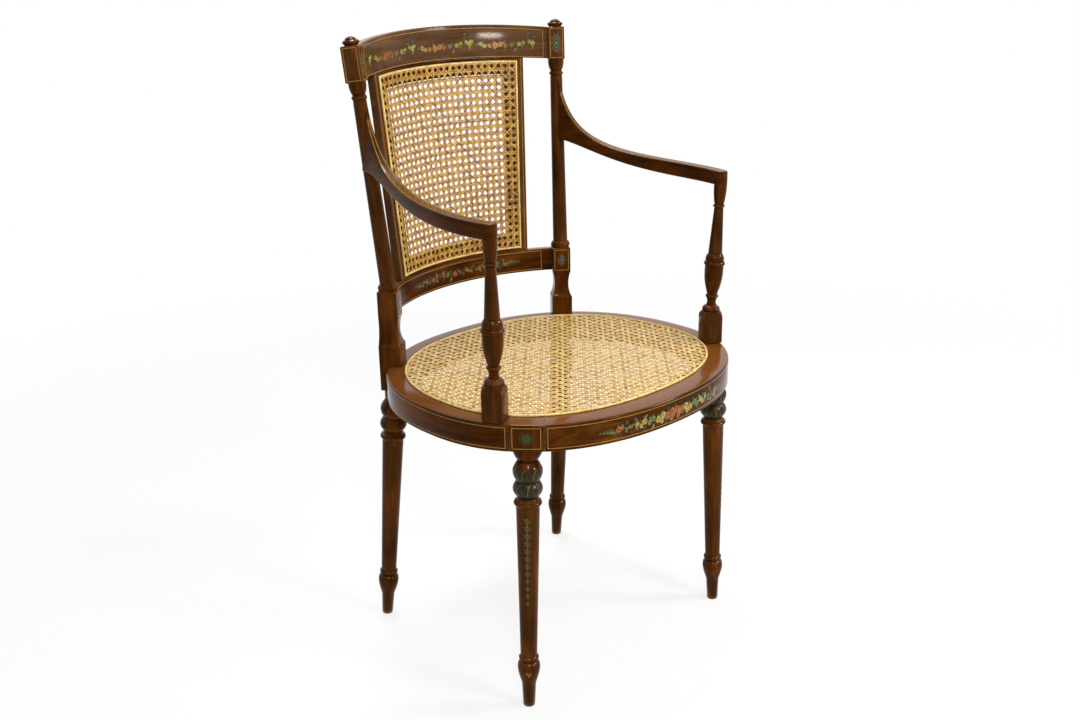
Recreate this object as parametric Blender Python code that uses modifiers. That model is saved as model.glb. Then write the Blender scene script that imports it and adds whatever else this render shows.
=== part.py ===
# Painted mahogany elbow chair with an oval caned seat and a bowed caned back.
# Metres, +Z up, front towards -Y. The origin is on the floor under the middle of the chair.
# "Right" is +X, the right-hand side for someone who stands in front and looks at the chair.

import bpy
import bmesh
from math import asin, atan, atan2, cos, exp, hypot, pi, radians, sin, sqrt
from mathutils import Matrix, Vector

# Fits
CLEARANCE = 0.0003          # gap left at each glued, seated or housed joint

# Seat frame, measured from the widest line of the oval
SEAT_HEIGHT = 0.431         # floor to the top of the rails
RAIL_DEPTH = 0.038          # rail height
SEAT_HALF_WIDTH = 0.260
SEAT_FRONT_REACH = 0.212    # widest line to the front edge
SEAT_BACK_REACH = 0.248     # widest line to the back edge
SEAT_SQUARENESS = 2.25      # 2 is an ellipse, larger is squarer
CANE_SIDE_MARGIN = 0.0275   # bare wood outside the cane
CANE_FRONT_MARGIN = 0.034
CANE_BACK_MARGIN = 0.027
CANE_SQUARENESS = 2.3
CANE_LEDGE = 0.012          # rail that runs in under the cane

# Legs
FRONT_LEG_BEARING = radians(57)     # from the front, round the seat
FRONT_LEG_INSET = 0.0195            # leg axis in from the rail's outer face
FRONT_LEG_SPLAY = 0.011             # foot outwards of the leg's top
FRONT_LEG_RAKE = 0.003              # and forwards of it
LEG_BLOCK_WIDTH = 0.046             # square at the top of a front leg, along the rail
REAR_LEG_SPLAY = 0.015
REAR_LEG_RAKE = 0.035               # backwards
LEG_NECK_LENGTH = 0.0175
LEG_NECK_RADIUS = 0.0155
LEG_NECK_FLARE = 0.002              # under a front leg's block
LEG_NECK_FOOT_RADIUS = 0.0138       # above the upper bulb
LEG_GROOVE_RADIUS = 0.0160          # between the bulbs
LEG_BULB_RADIUS = 0.0203
LEG_UPPER_BULB = 0.0295             # lengths along the leg
LEG_LOWER_BULB = 0.0240
LEG_BULB_FOOT_RADIUS = 0.0143       # under the lower bulb
LEG_COVE = 0.005                    # flares out from the lower bulb to the ring
LEG_COVE_HOLLOW = 0.0012
LEG_RING_LENGTH = 0.0065
LEG_RING_EDGE_RADIUS = 0.0180
LEG_RING_RADIUS = 0.0195
LEG_SHAFT_TOP_RADIUS = 0.0163
LEG_SHAFT_FOOT_RADIUS = 0.0118
ANKLE_RING_LENGTH = 0.0075
ANKLE_RING_RADIUS = 0.0142
FOOT_BULB_LENGTH = 0.0375
FOOT_BULB_SWELL = 0.0047
FOOT_BULB_PEAK = 0.6                # below 1, the bulb is fullest above its middle
FOOT_LENGTH = 0.036
FOOT_TOP_RADIUS = 0.0100
FOOT_SOLE_RADIUS = 0.0085

# Bowed back, a cone about an upright line in front of the posts
POST_SEAT_BEARING = radians(136.4)  # of the posts from the front, round the seat
POST_INSET = 0.0055         # post axis in from the rail's outer face
POST_BEARING = radians(37.5)    # of the posts from the back, round the bow
BACK_LEAN = 0.0925          # outward slope above the lower block
BACK_HEIGHT = 0.4635        # seat to the top of the post cubes
BASE_BLOCK_WIDTH = 0.033
BASE_BLOCK_RISE = 0.031     # above the seat
SHANK_LENGTH = 0.043
SHANK_WIDTH = 0.0225
SHANK_HOLLOW = 0.7          # below 1, the shank thins quickly at its ends
LOWER_BLOCK_HEIGHT = 0.040
LOWER_BLOCK_WIDTH = 0.0293
POST_LOW_RING = 0.010
POST_LOW_RING_RADIUS = 0.0140
POST_LOW_RING_SWELL = 0.0022
POST_FOOT_RADIUS = 0.0118
POST_HEAD_RADIUS = 0.0097
POST_HIGH_RING = 0.006
POST_HIGH_RING_RADIUS = 0.0111
POST_NECK = 0.003           # between the collar and the ring
POST_COLLAR = 0.0155        # cup under the cube
POST_COLLAR_RADIUS = 0.0125
POST_COLLAR_FOOT_RADIUS = 0.0102
POST_COLLAR_SWELL = 0.0009
CUBE_HEIGHT = 0.050
CUBE_WIDTH = 0.0257
FINIAL_BASE = 0.0015        # heights of the base, the disc and the domed cap
FINIAL_DISC = 0.006
FINIAL_CAP = 0.0045
FINIAL_BASE_RADIUS = 0.0100
FINIAL_DISC_TOP_RADIUS = 0.0095
FINIAL_DISC_SWELL = 0.0026
FINIAL_CAP_RADIUS = 0.0078
FINIAL_CAP_SWELL = 0.0018
FINIAL_CROWN_RADIUS = 0.0025
FINIAL_PEG_RADIUS = 0.004
FINIAL_PEG_LENGTH = 0.012

# Back rails and caned panel
CREST_HEIGHT = 0.048
CREST_ARCH = 0.008          # rise of the crest's lower edge in the middle
CREST_CROWN = 0.011         # and of its upper edge
CREST_THICKNESS = 0.016
CREST_SET_BACK = -0.001     # behind the posts' middle line
LOWER_RAIL_HEIGHT = 0.036
LOWER_RAIL_THICKNESS = 0.018
LOWER_RAIL_SET_BACK = 0.005
TENON_THICKNESS = 0.008
TENON_LENGTH = 0.010
TENON_SHOULDER = 0.008      # rail left above and below a tenon
STILE_BEARING = radians(24.00)  # half-way up
STILE_WIDTH = 0.034
STILE_DEPTH = 0.0115
STILE_TENON = 0.008
SLIP_HEIGHT = 0.025         # thin rails of the cane frame
SLIP_LAP = 0.021            # cane and binding over these rails
PANEL_LAP = 0.023           # and over the stiles
PANEL_TAPER = 0.0533        # share by which the panel widens from the lower rail to the crest
PANEL_SET_BACK = 0.00075    # of the frame behind the rails' middle

# Cane
CANE_THICKNESS = 0.0018
BINDING_WIDTH = 0.0045
BINDING_THICKNESS = 0.0012
NET_PITCH = 0.029           # wider than the real weave's holes
NET_GAP = 0.0205
NET_RIM = 0.007             # unbroken edge of the net

# Arms
ARM_HEIGHT = 0.265          # seat to the top of an arm
ARM_THICKNESS = 0.0195
ARM_WIDTH = 0.020
ARM_ROOT_WIDTH = 0.013
ARM_SWEEP_RISE = 0.118      # climb of the arm's top up the back post
ARM_SWEEP_LENGTH = 0.036
ARM_SWEEP_POWER = 0.66      # below 1, the sweep leaves the post as a tangent
ARM_UNDER_RISE = 0.044      # climb of the arm's underside
ARM_UNDER_LENGTH = 0.112
ARM_UNDER_POWER = 1.5
ARM_OVERHANG = 0.010        # arm in front of its post
ARM_REAR_HANDLE = 0.075     # pull of the arm's plan curve forwards from the back post
ARM_REAR_FLARE = 0.006      # and outwards
ARM_FRONT_HANDLE = 0.102    # backwards from the arm's front end
ARM_FRONT_FLARE = 0.0305
ARM_CHAMFER = 0.003
ARM_END_ROUND = 0.0098
ARM_END_NARROWING = 0.62

# Arm posts
ARM_POST_BEARING = radians(67.2)
ARM_POST_INSET = 0.0140
ARM_POST_SPLAY = 0.006      # top outwards of the foot
ARM_POST_RAKE = 0.007       # and forwards of it
ARM_BLOCK_WIDTH = 0.028
ARM_BLOCK_HEIGHT = 0.050
ARM_BLOCK_POMMEL = 0.012    # rounded-off corners at the block's top
ARM_TENON_RADIUS = 0.006
ARM_TENON_LENGTH = 0.012
SEAT_TENON_RADIUS = 0.008
SEAT_TENON_LENGTH = 0.022
ARM_NECK = 0.028            # lengths of the turned members, top to bottom
ARM_RING = 0.006
ARM_SHOULDER = 0.011
ARM_URN_RIM = 0.0085
ARM_URN = 0.044
ARM_BEAD = 0.007
ARM_WAIST = 0.011
ARM_BASE_RING = 0.0095
ARM_COLLAR_RADIUS = 0.0098
ARM_NECK_RADIUS = 0.0074
ARM_NECK_SWELL = 0.0006
ARM_RING_RADIUS = 0.0090
ARM_SHAFT_TOP_RADIUS = 0.0070
ARM_SHAFT_FOOT_RADIUS = 0.0106
ARM_SHOULDER_RADIUS = 0.0142
ARM_SHOULDER_SWELL = 0.0012
ARM_RIM_RADIUS = 0.0161
ARM_URN_FOOT_RADIUS = 0.0080
ARM_URN_SWELL = 0.0022
ARM_BEAD_RADIUS = 0.0099
ARM_WAIST_RADIUS = 0.0068
ARM_WAIST_END_RADIUS = 0.0078
ARM_BASE_HEAD_RADIUS = 0.0098
ARM_BASE_RADIUS = 0.0123
ARM_BASE_SWELL = 0.0025

# Fixings
DOWEL_RADIUS = 0.004
DOWEL_LENGTH = 0.030
DOWEL_SPACING = 0.018
DOWEL_RISE = 0.010          # above the underside of the rails
SCREW_RADIUS = 0.0019
SCREW_HEAD_RADIUS = 0.0038
SCREW_HEAD_LENGTH = 0.003
POST_SCREW_LENGTH = 0.036
POST_SCREW_SPACING = 0.018
ARM_SCREW_LENGTH = 0.042
POST_SCREW_HEAD = 0.031     # head from the post's axis, inside the rail
ARM_SCREW_HEAD = 0.006      # head behind the post's axis
ARM_SCREW_RISE = 0.032      # above the top of the arm
SCREW_TIP = 0.004
SCREW_BORE = 0.030          # open hole above a screw's head

# Smoothness
TURNED_SIDES = 12
SMALL_SIDES = 10
SWELL_STEPS = 4             # of one turned member's curve
SMALL_SWELL_STEPS = 3
SHANK_STEPS = 8
RAIL_STEP = radians(6)      # of a seat rail's curve
NORMAL_STEP = radians(0.5)  # over which the oval's direction is taken
BOW_STEPS = 20              # of a back rail's curve
ARM_STATIONS = 18           # sections along an arm
ARM_STATION_POWER = 1.4     # above 1, the sections are closer at the root
ARM_END_STEPS = 3           # round the arm's front end
ARM_PATH_STEPS = 120
ARM_SWEEP_STEPS = 30        # halvings that find the height of an arm's top
FILLET = 0.0008             # groove between two turned members
NUDGE = 0.002               # overlap of bodies that are joined into one
WELD = 0.00001              # points closer than this are one point
FLOOR_REACH = 1.0           # of the cutter that trims the feet level

# Heights that follow
RAIL_FOOT = SEAT_HEIGHT - RAIL_DEPTH
BLOCK_FOOT = SEAT_HEIGHT + BASE_BLOCK_RISE + SHANK_LENGTH
BLOCK_HEAD = BLOCK_FOOT + LOWER_BLOCK_HEIGHT
CUBE_TOP = SEAT_HEIGHT + BACK_HEIGHT
CREST_FOOT = CUBE_TOP - (CUBE_HEIGHT + CREST_HEIGHT) / 2
LOWER_RAIL_FOOT = BLOCK_FOOT + (LOWER_BLOCK_HEIGHT - LOWER_RAIL_HEIGHT) / 2
LOWER_RAIL_HEAD = LOWER_RAIL_FOOT + LOWER_RAIL_HEIGHT
ARM_TOP = SEAT_HEIGHT + ARM_HEIGHT
ARM_FOOT = ARM_TOP - ARM_THICKNESS
LEAN_ANGLE = atan(BACK_LEAN)
PANEL_LEAN = BACK_LEAN + (CREST_SET_BACK - LOWER_RAIL_SET_BACK) / (CREST_FOOT - LOWER_RAIL_HEAD)
PANEL_ANGLE = atan(PANEL_LEAN)

# Outlines of the oval: half width, front reach, back reach, squareness
RAIL_OUTSIDE = (SEAT_HALF_WIDTH, SEAT_FRONT_REACH, SEAT_BACK_REACH, SEAT_SQUARENESS)
CANE_EDGE = (
    SEAT_HALF_WIDTH - CANE_SIDE_MARGIN,
    SEAT_FRONT_REACH - CANE_FRONT_MARGIN,
    SEAT_BACK_REACH - CANE_BACK_MARGIN,
    CANE_SQUARENESS,
)
RAIL_INSIDE = (*(reach - CANE_LEDGE for reach in CANE_EDGE[:3]), CANE_SQUARENESS)


def clear_scene():
    for item in list(bpy.data.objects):
        bpy.data.objects.remove(item, do_unlink=True)


def new_collection(name):
    collection = bpy.data.collections.new(name)
    bpy.context.scene.collection.children.link(collection)
    return collection


def finish(name, colour, roughness, metallic=0.0):
    material = bpy.data.materials.new(name)
    material.use_nodes = True
    shader = material.node_tree.nodes["Principled BSDF"]
    shader.inputs["Base Color"].default_value = (*colour, 1.0)
    shader.inputs["Roughness"].default_value = roughness
    shader.inputs["Metallic"].default_value = metallic
    material.diffuse_color = (*colour, 1.0)
    return material


clear_scene()
PARTS = new_collection("painted_armchair")
CUTTERS = new_collection("cutters")
MAHOGANY = finish("mahogany", (0.16, 0.05, 0.018), 0.28)
CANE = finish("cane", (0.60, 0.40, 0.16), 0.55)
BEECH = finish("beech_dowel", (0.50, 0.34, 0.19), 0.6)
STEEL = finish("steel", (0.42, 0.41, 0.40), 0.4, 1.0)


# Placing and joining

def add_object(name, mesh, material, matrix=None, collection=None):
    item = bpy.data.objects.new(name, mesh)
    (collection or PARTS).objects.link(item)
    item.parent = ORIGIN
    item.matrix_local = matrix or Matrix()
    mesh.materials.append(material)
    if collection is CUTTERS:
        item.hide_render = True
        item.display_type = "WIRE"
    return item


def boolean(item, tool, operation):
    modifier = item.modifiers.new(operation.lower() + "_" + tool.name, "BOOLEAN")
    modifier.operation = operation
    modifier.solver = "EXACT"
    modifier.object = tool


def cut(item, *tools):
    for tool in tools:
        boolean(item, tool, "DIFFERENCE")


def join(item, *tools):
    for tool in tools:
        boolean(item, tool, "UNION")


def stand(base, outward, lean=0.0):
    # local +Z leans towards outward, local +Y faces outward, local +X runs sideways
    yaw = atan2(-outward.x, outward.y)
    turn = Matrix.Rotation(yaw, 4, "Z") @ Matrix.Rotation(-lean, 4, "X")
    return Matrix.Translation(base) @ turn


def along(start, end):
    # local +Z runs from start to end
    turn = (end - start).to_track_quat("Z", "Y").to_matrix().to_4x4()
    return Matrix.Translation(start) @ turn


def mesh_from(bm, name):
    bmesh.ops.recalc_face_normals(bm, faces=bm.faces)
    mesh = bpy.data.meshes.new(name)
    bm.to_mesh(mesh)
    bm.free()
    return mesh


def box_mesh(name, low, high):
    low, high = Vector(low), Vector(high)
    place = Matrix.Translation((low + high) / 2) @ Matrix.Diagonal((*(high - low), 1))
    bm = bmesh.new()
    bmesh.ops.create_cube(bm, size=1.0, matrix=place)
    return mesh_from(bm, name)


def rods_mesh(name, rods, sides=SMALL_SIDES):
    # several round rods, each given by its two ends and its radius
    bm = bmesh.new()
    for start, end, radius in rods:
        length = (end - start).length
        place = along(start, end) @ Matrix.Translation((0, 0, length / 2))
        bmesh.ops.create_cone(bm, cap_ends=True, segments=sides, radius1=radius, radius2=radius,
                              depth=length, matrix=place)
    return mesh_from(bm, name)


def loft_mesh(name, rings):
    bm = bmesh.new()
    loops = [[bm.verts.new(point) for point in ring] for ring in rings]
    count = len(loops[0])
    for low, high in zip(loops, loops[1:]):
        for i in range(count):
            j = (i + 1) % count
            bm.faces.new((low[i], low[j], high[j], high[i]))
    bm.faces.new(loops[0])
    bm.faces.new(loops[-1])
    return mesh_from(bm, name)


def turned(name, profile, matrix, material=MAHOGANY, collection=None, sides=TURNED_SIDES):
    # profile runs from top to bottom as (height, radius), closed on the axis at both ends
    points = [(profile[0][0], 0.0)]
    for height, radius in [*profile, (profile[-1][0], 0.0)]:
        if hypot(height - points[-1][0], radius - points[-1][1]) > WELD:
            points.append((height, radius))
    bm = bmesh.new()
    verts = [bm.verts.new((radius, 0, height)) for height, radius in points]
    for first, second in zip(verts, verts[1:]):
        bm.edges.new((first, second))
    mesh = bpy.data.meshes.new(name)
    bm.to_mesh(mesh)
    bm.free()
    item = add_object(name, mesh, material, matrix, collection)
    screw = item.modifiers.new("turning", "SCREW")
    screw.axis = "Z"
    screw.angle = 2 * pi
    screw.steps = sides
    screw.render_steps = sides
    screw.use_merge_vertices = True
    screw.merge_threshold = WELD
    screw.use_smooth_shade = True
    return item


def swell(top, bottom, top_radius, bottom_radius, bulge, steps=SWELL_STEPS, peak=1.0):
    # one turned member: a taper with a bulge (bead) or a negative bulge (hollow), highest in the middle
    # unless peak moves it
    points = []
    for i in range(steps + 1):
        share = i / steps
        radius = top_radius + (bottom_radius - top_radius) * share + bulge * sin(pi * share ** peak)
        points.append((top + (bottom - top) * share, radius))
    return points


def plate(name, outlines, foot, thickness, material, collection=None):
    # flat outlines, the first is the edge and the rest are holes
    curve = bpy.data.curves.new(name, "CURVE")
    curve.dimensions = "2D"
    curve.fill_mode = "BOTH"
    curve.extrude = thickness / 2
    for outline in outlines:
        spline = curve.splines.new("POLY")
        spline.points.add(len(outline) - 1)
        for point, place in zip(spline.points, outline):
            point.co = (place[0], place[1], 0, 1)
        spline.use_cyclic_u = True
    source = bpy.data.objects.new(name + "_outline", curve)
    CUTTERS.objects.link(source)
    graph = bpy.context.evaluated_depsgraph_get()
    mesh = bpy.data.meshes.new_from_object(source.evaluated_get(graph))
    bpy.data.objects.remove(source)
    bm = bmesh.new()
    bm.from_mesh(mesh)
    bmesh.ops.remove_doubles(bm, verts=bm.verts, dist=WELD)
    bmesh.ops.recalc_face_normals(bm, faces=bm.faces)
    bm.to_mesh(mesh)
    bm.free()
    mesh.name = name
    mesh.materials.clear()
    return add_object(name, mesh, material, Matrix.Translation((0, 0, foot + thickness / 2)), collection)


# Oval seat

def edge_point(bearing, outline, inset=0.0):
    # bearing turns from the front towards the right
    *reaches, power = outline
    side, front, back = (reach - inset for reach in reaches)
    across, along_y = sin(bearing), -cos(bearing)
    reach = front if along_y < 0 else back
    radius = ((abs(across) / side) ** power + (abs(along_y) / reach) ** power) ** (-1 / power)
    return Vector((radius * across, radius * along_y, 0))


def edge_outward(bearing):
    ahead = edge_point(bearing + NORMAL_STEP, RAIL_OUTSIDE)
    run = ahead - edge_point(bearing - NORMAL_STEP, RAIL_OUTSIDE)
    return Vector((run.y, -run.x, 0)).normalized()


def oval(outline, inset=0.0):
    count = round(2 * pi / RAIL_STEP)
    return [edge_point(2 * pi * i / count, outline, inset) for i in range(count)]


def seat_spot(bearing, inset):
    return edge_point(bearing, RAIL_OUTSIDE) - edge_outward(bearing) * inset


def ring_sector(first, last):
    count = max(3, round((last - first) / RAIL_STEP))
    bearings = [first + (last - first) * i / count for i in range(count + 1)]
    outside = [edge_point(bearing, RAIL_OUTSIDE) for bearing in bearings]
    inside = [edge_point(bearing, RAIL_INSIDE) for bearing in reversed(bearings)]
    return outside + inside


# Bowed back

POST_FOOT = seat_spot(POST_SEAT_BEARING, POST_INSET)
BACK_RADIUS = POST_FOOT.x / sin(POST_BEARING)       # bow of the posts at the lower rail
BACK_CENTRE = POST_FOOT.y - BACK_RADIUS * cos(POST_BEARING)


def cone_point(bearing, radius, height):
    return Vector((radius * sin(bearing), BACK_CENTRE + radius * cos(bearing), height))


def post_axis(side, height):
    return cone_point(side * POST_BEARING, BACK_RADIUS + BACK_LEAN * (height - BLOCK_HEAD), height)


def bow_radius(height):
    # middle of the rails and of the caned panel
    return BACK_RADIUS + LOWER_RAIL_SET_BACK + PANEL_LEAN * (height - LOWER_RAIL_HEAD)


def bow_point(bearing, height, offset=0.0):
    return cone_point(bearing, bow_radius(height) + offset, height)


def bow_outward(bearing):
    return Vector((sin(bearing), cos(bearing), 0))


def arch(bearing):
    return 1 - (bearing / POST_BEARING) ** 2


def crest_foot(bearing):
    return CREST_FOOT + CREST_ARCH * arch(bearing)


def crest_top(bearing):
    return CREST_FOOT + CREST_HEIGHT + CREST_CROWN * arch(bearing)


def spread(first, last, steps):
    return [first + (last - first) * i / steps for i in range(steps + 1)]


def panel_spread(height):
    # widening of the cane frame at a height, 1 half-way up
    share = (height - LOWER_RAIL_HEAD) / (CREST_FOOT - LOWER_RAIL_HEAD)
    return 1 + PANEL_TAPER * (share - 0.5)


def bowed_sheet(name, bearings, rows, low, high, offset, thickness, material, gap=None, widen=None):
    # a sheet on the cone: rows are shares of the way from low to high, gap picks the cells left out,
    # widen scales the bearings by height
    columns, bands = len(bearings) - 1, len(rows) - 1
    bm = bmesh.new()
    bmesh.ops.create_grid(bm, x_segments=columns, y_segments=bands, size=0.5)
    if gap:
        empty = []
        for face in bm.faces:
            middle = face.calc_center_median()
            if gap(int((middle.x + 0.5) * columns), int((middle.y + 0.5) * bands)):
                empty.append(face)
        bmesh.ops.delete(bm, geom=empty, context="FACES")
    for vert in bm.verts:
        bearing = bearings[round((vert.co.x + 0.5) * columns)]
        share = rows[round((vert.co.y + 0.5) * bands)]
        height = low(bearing) + share * (high(bearing) - low(bearing))
        if widen:
            bearing *= widen(height)
            height = low(bearing) + share * (high(bearing) - low(bearing))
        vert.co = bow_point(bearing, height, offset)
    mesh = bpy.data.meshes.new(name)
    bm.to_mesh(mesh)
    bm.free()
    item = add_object(name, mesh, material)
    solid = item.modifiers.new("thickness", "SOLIDIFY")
    solid.thickness = thickness
    solid.offset = 0.0
    return item


# The chair's middle stands over the origin
CREST_BACK = bow_point(0, crest_top(0)).y + CREST_THICKNESS / 2 * cos(PANEL_ANGLE)
ORIGIN = bpy.data.objects.new("chair_origin", None)
PARTS.objects.link(ORIGIN)
ORIGIN.location = (0, (SEAT_FRONT_REACH - CREST_BACK) / 2, 0)

SIDES = {"left": -1, "right": 1}
FLOOR_LOW = (-FLOOR_REACH, -FLOOR_REACH, -FLOOR_REACH)
FLOOR_HIGH = (FLOOR_REACH, FLOOR_REACH, 0)
FLOOR = add_object("floor_cutter", box_mesh("floor_cutter", FLOOR_LOW, FLOOR_HIGH), BEECH, collection=CUTTERS)


# Legs

def leg_profile(length, flare):
    # from the neck under the seat down to the sole, with length above the floor
    neck = length - LEG_NECK_LENGTH
    throat, groove = LEG_NECK_FOOT_RADIUS, LEG_GROOVE_RADIUS
    bulb = neck - LEG_UPPER_BULB
    lower = bulb - LEG_LOWER_BULB
    slim = LEG_BULB_FOOT_RADIUS
    cove = lower - LEG_COVE
    edge = LEG_RING_EDGE_RADIUS
    ring = cove - LEG_RING_LENGTH
    toe = FOOT_LENGTH
    ankle = toe + FOOT_BULB_LENGTH
    shaft = ankle + ANKLE_RING_LENGTH
    return [
        *swell(length + NUDGE, neck, LEG_NECK_RADIUS + flare, throat, flare / 2),
        *swell(neck, bulb, throat, groove, LEG_BULB_RADIUS - (throat + groove) / 2),
        *swell(bulb - FILLET, lower, groove, slim, LEG_BULB_RADIUS - (groove + slim) / 2),
        *swell(lower - FILLET, cove, slim, edge, -LEG_COVE_HOLLOW, SMALL_SWELL_STEPS),
        *swell(cove - FILLET, ring, edge, edge, LEG_RING_RADIUS - edge, SMALL_SWELL_STEPS),
        (ring - FILLET, LEG_SHAFT_TOP_RADIUS),
        (shaft + FILLET, LEG_SHAFT_FOOT_RADIUS),
        *swell(shaft, ankle, LEG_SHAFT_FOOT_RADIUS, LEG_SHAFT_FOOT_RADIUS,
               ANKLE_RING_RADIUS - LEG_SHAFT_FOOT_RADIUS),
        *swell(ankle - FILLET, toe, LEG_SHAFT_FOOT_RADIUS, FOOT_TOP_RADIUS, FOOT_BULB_SWELL,
               peak=FOOT_BULB_PEAK),
        (-NUDGE, FOOT_SOLE_RADIUS),
    ]


def turned_leg(name, top, splay, rake, side, flare, collection=None):
    sole = Vector((top.x + side * splay, top.y + rake, 0))
    head = Vector((top.x, top.y, RAIL_FOOT))
    profile = leg_profile((head - sole).length, flare)
    return turned(name, profile, along(sole, head), collection=collection)


def front_leg_frame(side):
    bearing = side * FRONT_LEG_BEARING
    return stand(seat_spot(bearing, FRONT_LEG_INSET), edge_outward(bearing))


def leg_block_box(name, side, gap):
    half = LEG_BLOCK_WIDTH / 2 + gap
    reach = CANE_FRONT_MARGIN + CANE_LEDGE
    mesh = box_mesh(name, (-half, -reach, RAIL_FOOT - gap), (half, reach, SEAT_HEIGHT + gap))
    return add_object(name, mesh, MAHOGANY, front_leg_frame(side), CUTTERS)


def front_dowels(grow):
    # two dowels at each side of both front leg blocks, as rods
    rods = []
    for side in SIDES.values():
        frame = front_leg_frame(side)
        for end in (-1, 1):
            for row in (-1, 1):
                place = (end * LEG_BLOCK_WIDTH / 2, row * DOWEL_SPACING / 2, RAIL_FOOT + DOWEL_RISE)
                middle, half = Vector(place), Vector((DOWEL_LENGTH / 2 + grow, 0, 0))
                rods.append((frame @ (middle - half), frame @ (middle + half), DOWEL_RADIUS + grow))
    return rods


RING = plate("seat_ring_cutter", [oval(RAIL_OUTSIDE), oval(RAIL_INSIDE)], RAIL_FOOT, RAIL_DEPTH,
             MAHOGANY, CUTTERS)
DOWEL_HOLES = add_object("dowel_holes", rods_mesh("dowel_holes", front_dowels(2 * CLEARANCE)), BEECH,
                         collection=CUTTERS)
for NUMBER, ROD in enumerate(front_dowels(0.0), 1):
    DOWEL_NAME = f"seat_rail_dowel_{NUMBER}"
    add_object(DOWEL_NAME, rods_mesh(DOWEL_NAME, [ROD]), BEECH)


def front_leg(label, side):
    top = seat_spot(side * FRONT_LEG_BEARING, FRONT_LEG_INSET)
    leg = turned_leg("front_leg_" + label, top, FRONT_LEG_SPLAY, -FRONT_LEG_RAKE, side, LEG_NECK_FLARE)
    block = leg_block_box("leg_block_" + label, side, 0.0)
    boolean(block, RING, "INTERSECT")
    join(leg, block)
    cut(leg, FLOOR, DOWEL_HOLES)


# Back posts with the rear legs

def post_foot(side):
    return post_axis(side, BLOCK_HEAD)


def block_frame(side):
    foot = post_foot(side)
    return stand(Vector((foot.x, foot.y, 0)), bow_outward(side * POST_BEARING))


def upper_frame(side):
    # leans back from the top of the lower block
    return stand(post_foot(side), bow_outward(side * POST_BEARING), LEAN_ANGLE)


def square(width, front, back, height):
    half = width / 2
    return [(-half, -front, height), (half, -front, height), (half, back, height), (-half, back, height)]


def post_block_mesh(name):
    # base block, shaved shank with a straight back, and lower block
    base = BASE_BLOCK_WIDTH / 2
    low = LOWER_BLOCK_WIDTH / 2
    thin = SHANK_WIDTH / 2
    rings = [square(2 * base, base, base, RAIL_FOOT)]
    base_head = SEAT_HEIGHT + BASE_BLOCK_RISE
    rings.append(square(2 * base, base, base, base_head))
    for i in range(1, SHANK_STEPS):
        share = i / SHANK_STEPS
        hollow = sin(pi * share) ** SHANK_HOLLOW
        edge = base + (low - base) * share
        half = edge + (thin - edge) * hollow
        rings.append(square(2 * half, half, edge, base_head + SHANK_LENGTH * share))
    rings.append(square(2 * low, low, low, BLOCK_FOOT))
    rings.append(square(2 * low, low, low, BLOCK_HEAD))
    return loft_mesh(name, rings)


def upper_length():
    return (CUBE_TOP - BLOCK_HEAD) / cos(LEAN_ANGLE)


def post_profile(grow=0.0):
    # from the collar under the cube down to the ring on the lower block
    collar = upper_length() - CUBE_HEIGHT
    neck = collar - POST_COLLAR
    ring = neck - POST_NECK
    shaft = ring - POST_HIGH_RING
    low = POST_LOW_RING
    points = [
        (collar + NUDGE, POST_COLLAR_RADIUS),
        *swell(collar, neck, POST_COLLAR_RADIUS, POST_COLLAR_FOOT_RADIUS, POST_COLLAR_SWELL,
               SMALL_SWELL_STEPS),
        (neck - FILLET, POST_HEAD_RADIUS),
        *swell(ring, shaft, POST_HEAD_RADIUS, POST_HEAD_RADIUS, POST_HIGH_RING_RADIUS - POST_HEAD_RADIUS,
               SMALL_SWELL_STEPS),
        (low + FILLET, POST_FOOT_RADIUS),
        *swell(low, 0.0, POST_FOOT_RADIUS + FILLET, POST_LOW_RING_RADIUS, POST_LOW_RING_SWELL),
        (-NUDGE, POST_LOW_RING_RADIUS),
    ]
    return [(height, radius + grow) for height, radius in points]


def tenon_mesh(name, foot, head, face, set_back, side, gap):
    # a tenon at the inner face of a square, which lies face from the post's axis
    inner = face - TENON_LENGTH - gap
    outer = face + TENON_LENGTH
    half = TENON_THICKNESS / 2 + gap
    ends = sorted((-side * inner, -side * outer))
    low = (ends[0], set_back - half, foot + TENON_SHOULDER - gap)
    high = (ends[1], set_back + half, head - TENON_SHOULDER + gap)
    return box_mesh(name, low, high)


def crest_tenon(name, side, gap):
    head = upper_length()
    mesh = tenon_mesh(name, head - CUBE_HEIGHT, head - FINIAL_PEG_LENGTH, CUBE_WIDTH / 2, CREST_SET_BACK,
                      side, gap)
    return add_object(name, mesh, MAHOGANY, upper_frame(side), CUTTERS)


def lower_tenon(name, side, gap):
    mesh = tenon_mesh(name, LOWER_RAIL_FOOT, LOWER_RAIL_HEAD, LOWER_BLOCK_WIDTH / 2, LOWER_RAIL_SET_BACK,
                      side, gap)
    return add_object(name, mesh, MAHOGANY, block_frame(side), CUTTERS)


def cube_box(name, side, gap):
    half = CUBE_WIDTH / 2 + gap
    head = upper_length()
    mesh = box_mesh(name, (-half, -half, head - CUBE_HEIGHT), (half, half, head))
    return add_object(name, mesh, MAHOGANY, upper_frame(side), CUTTERS)


def screw_profile(length, grow, bore=0.0):
    # head at the top, driven downwards, with an open bore above the head in a hole's cutter
    points = [(bore, SCREW_HEAD_RADIUS + grow)] if bore else []
    return points + [
        (0.0, SCREW_HEAD_RADIUS + grow),
        (-SCREW_HEAD_LENGTH, SCREW_RADIUS + grow),
        (-length + SCREW_TIP, SCREW_RADIUS + grow),
        (-length - grow, SCREW_RADIUS / 2 + grow),
    ]


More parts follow.
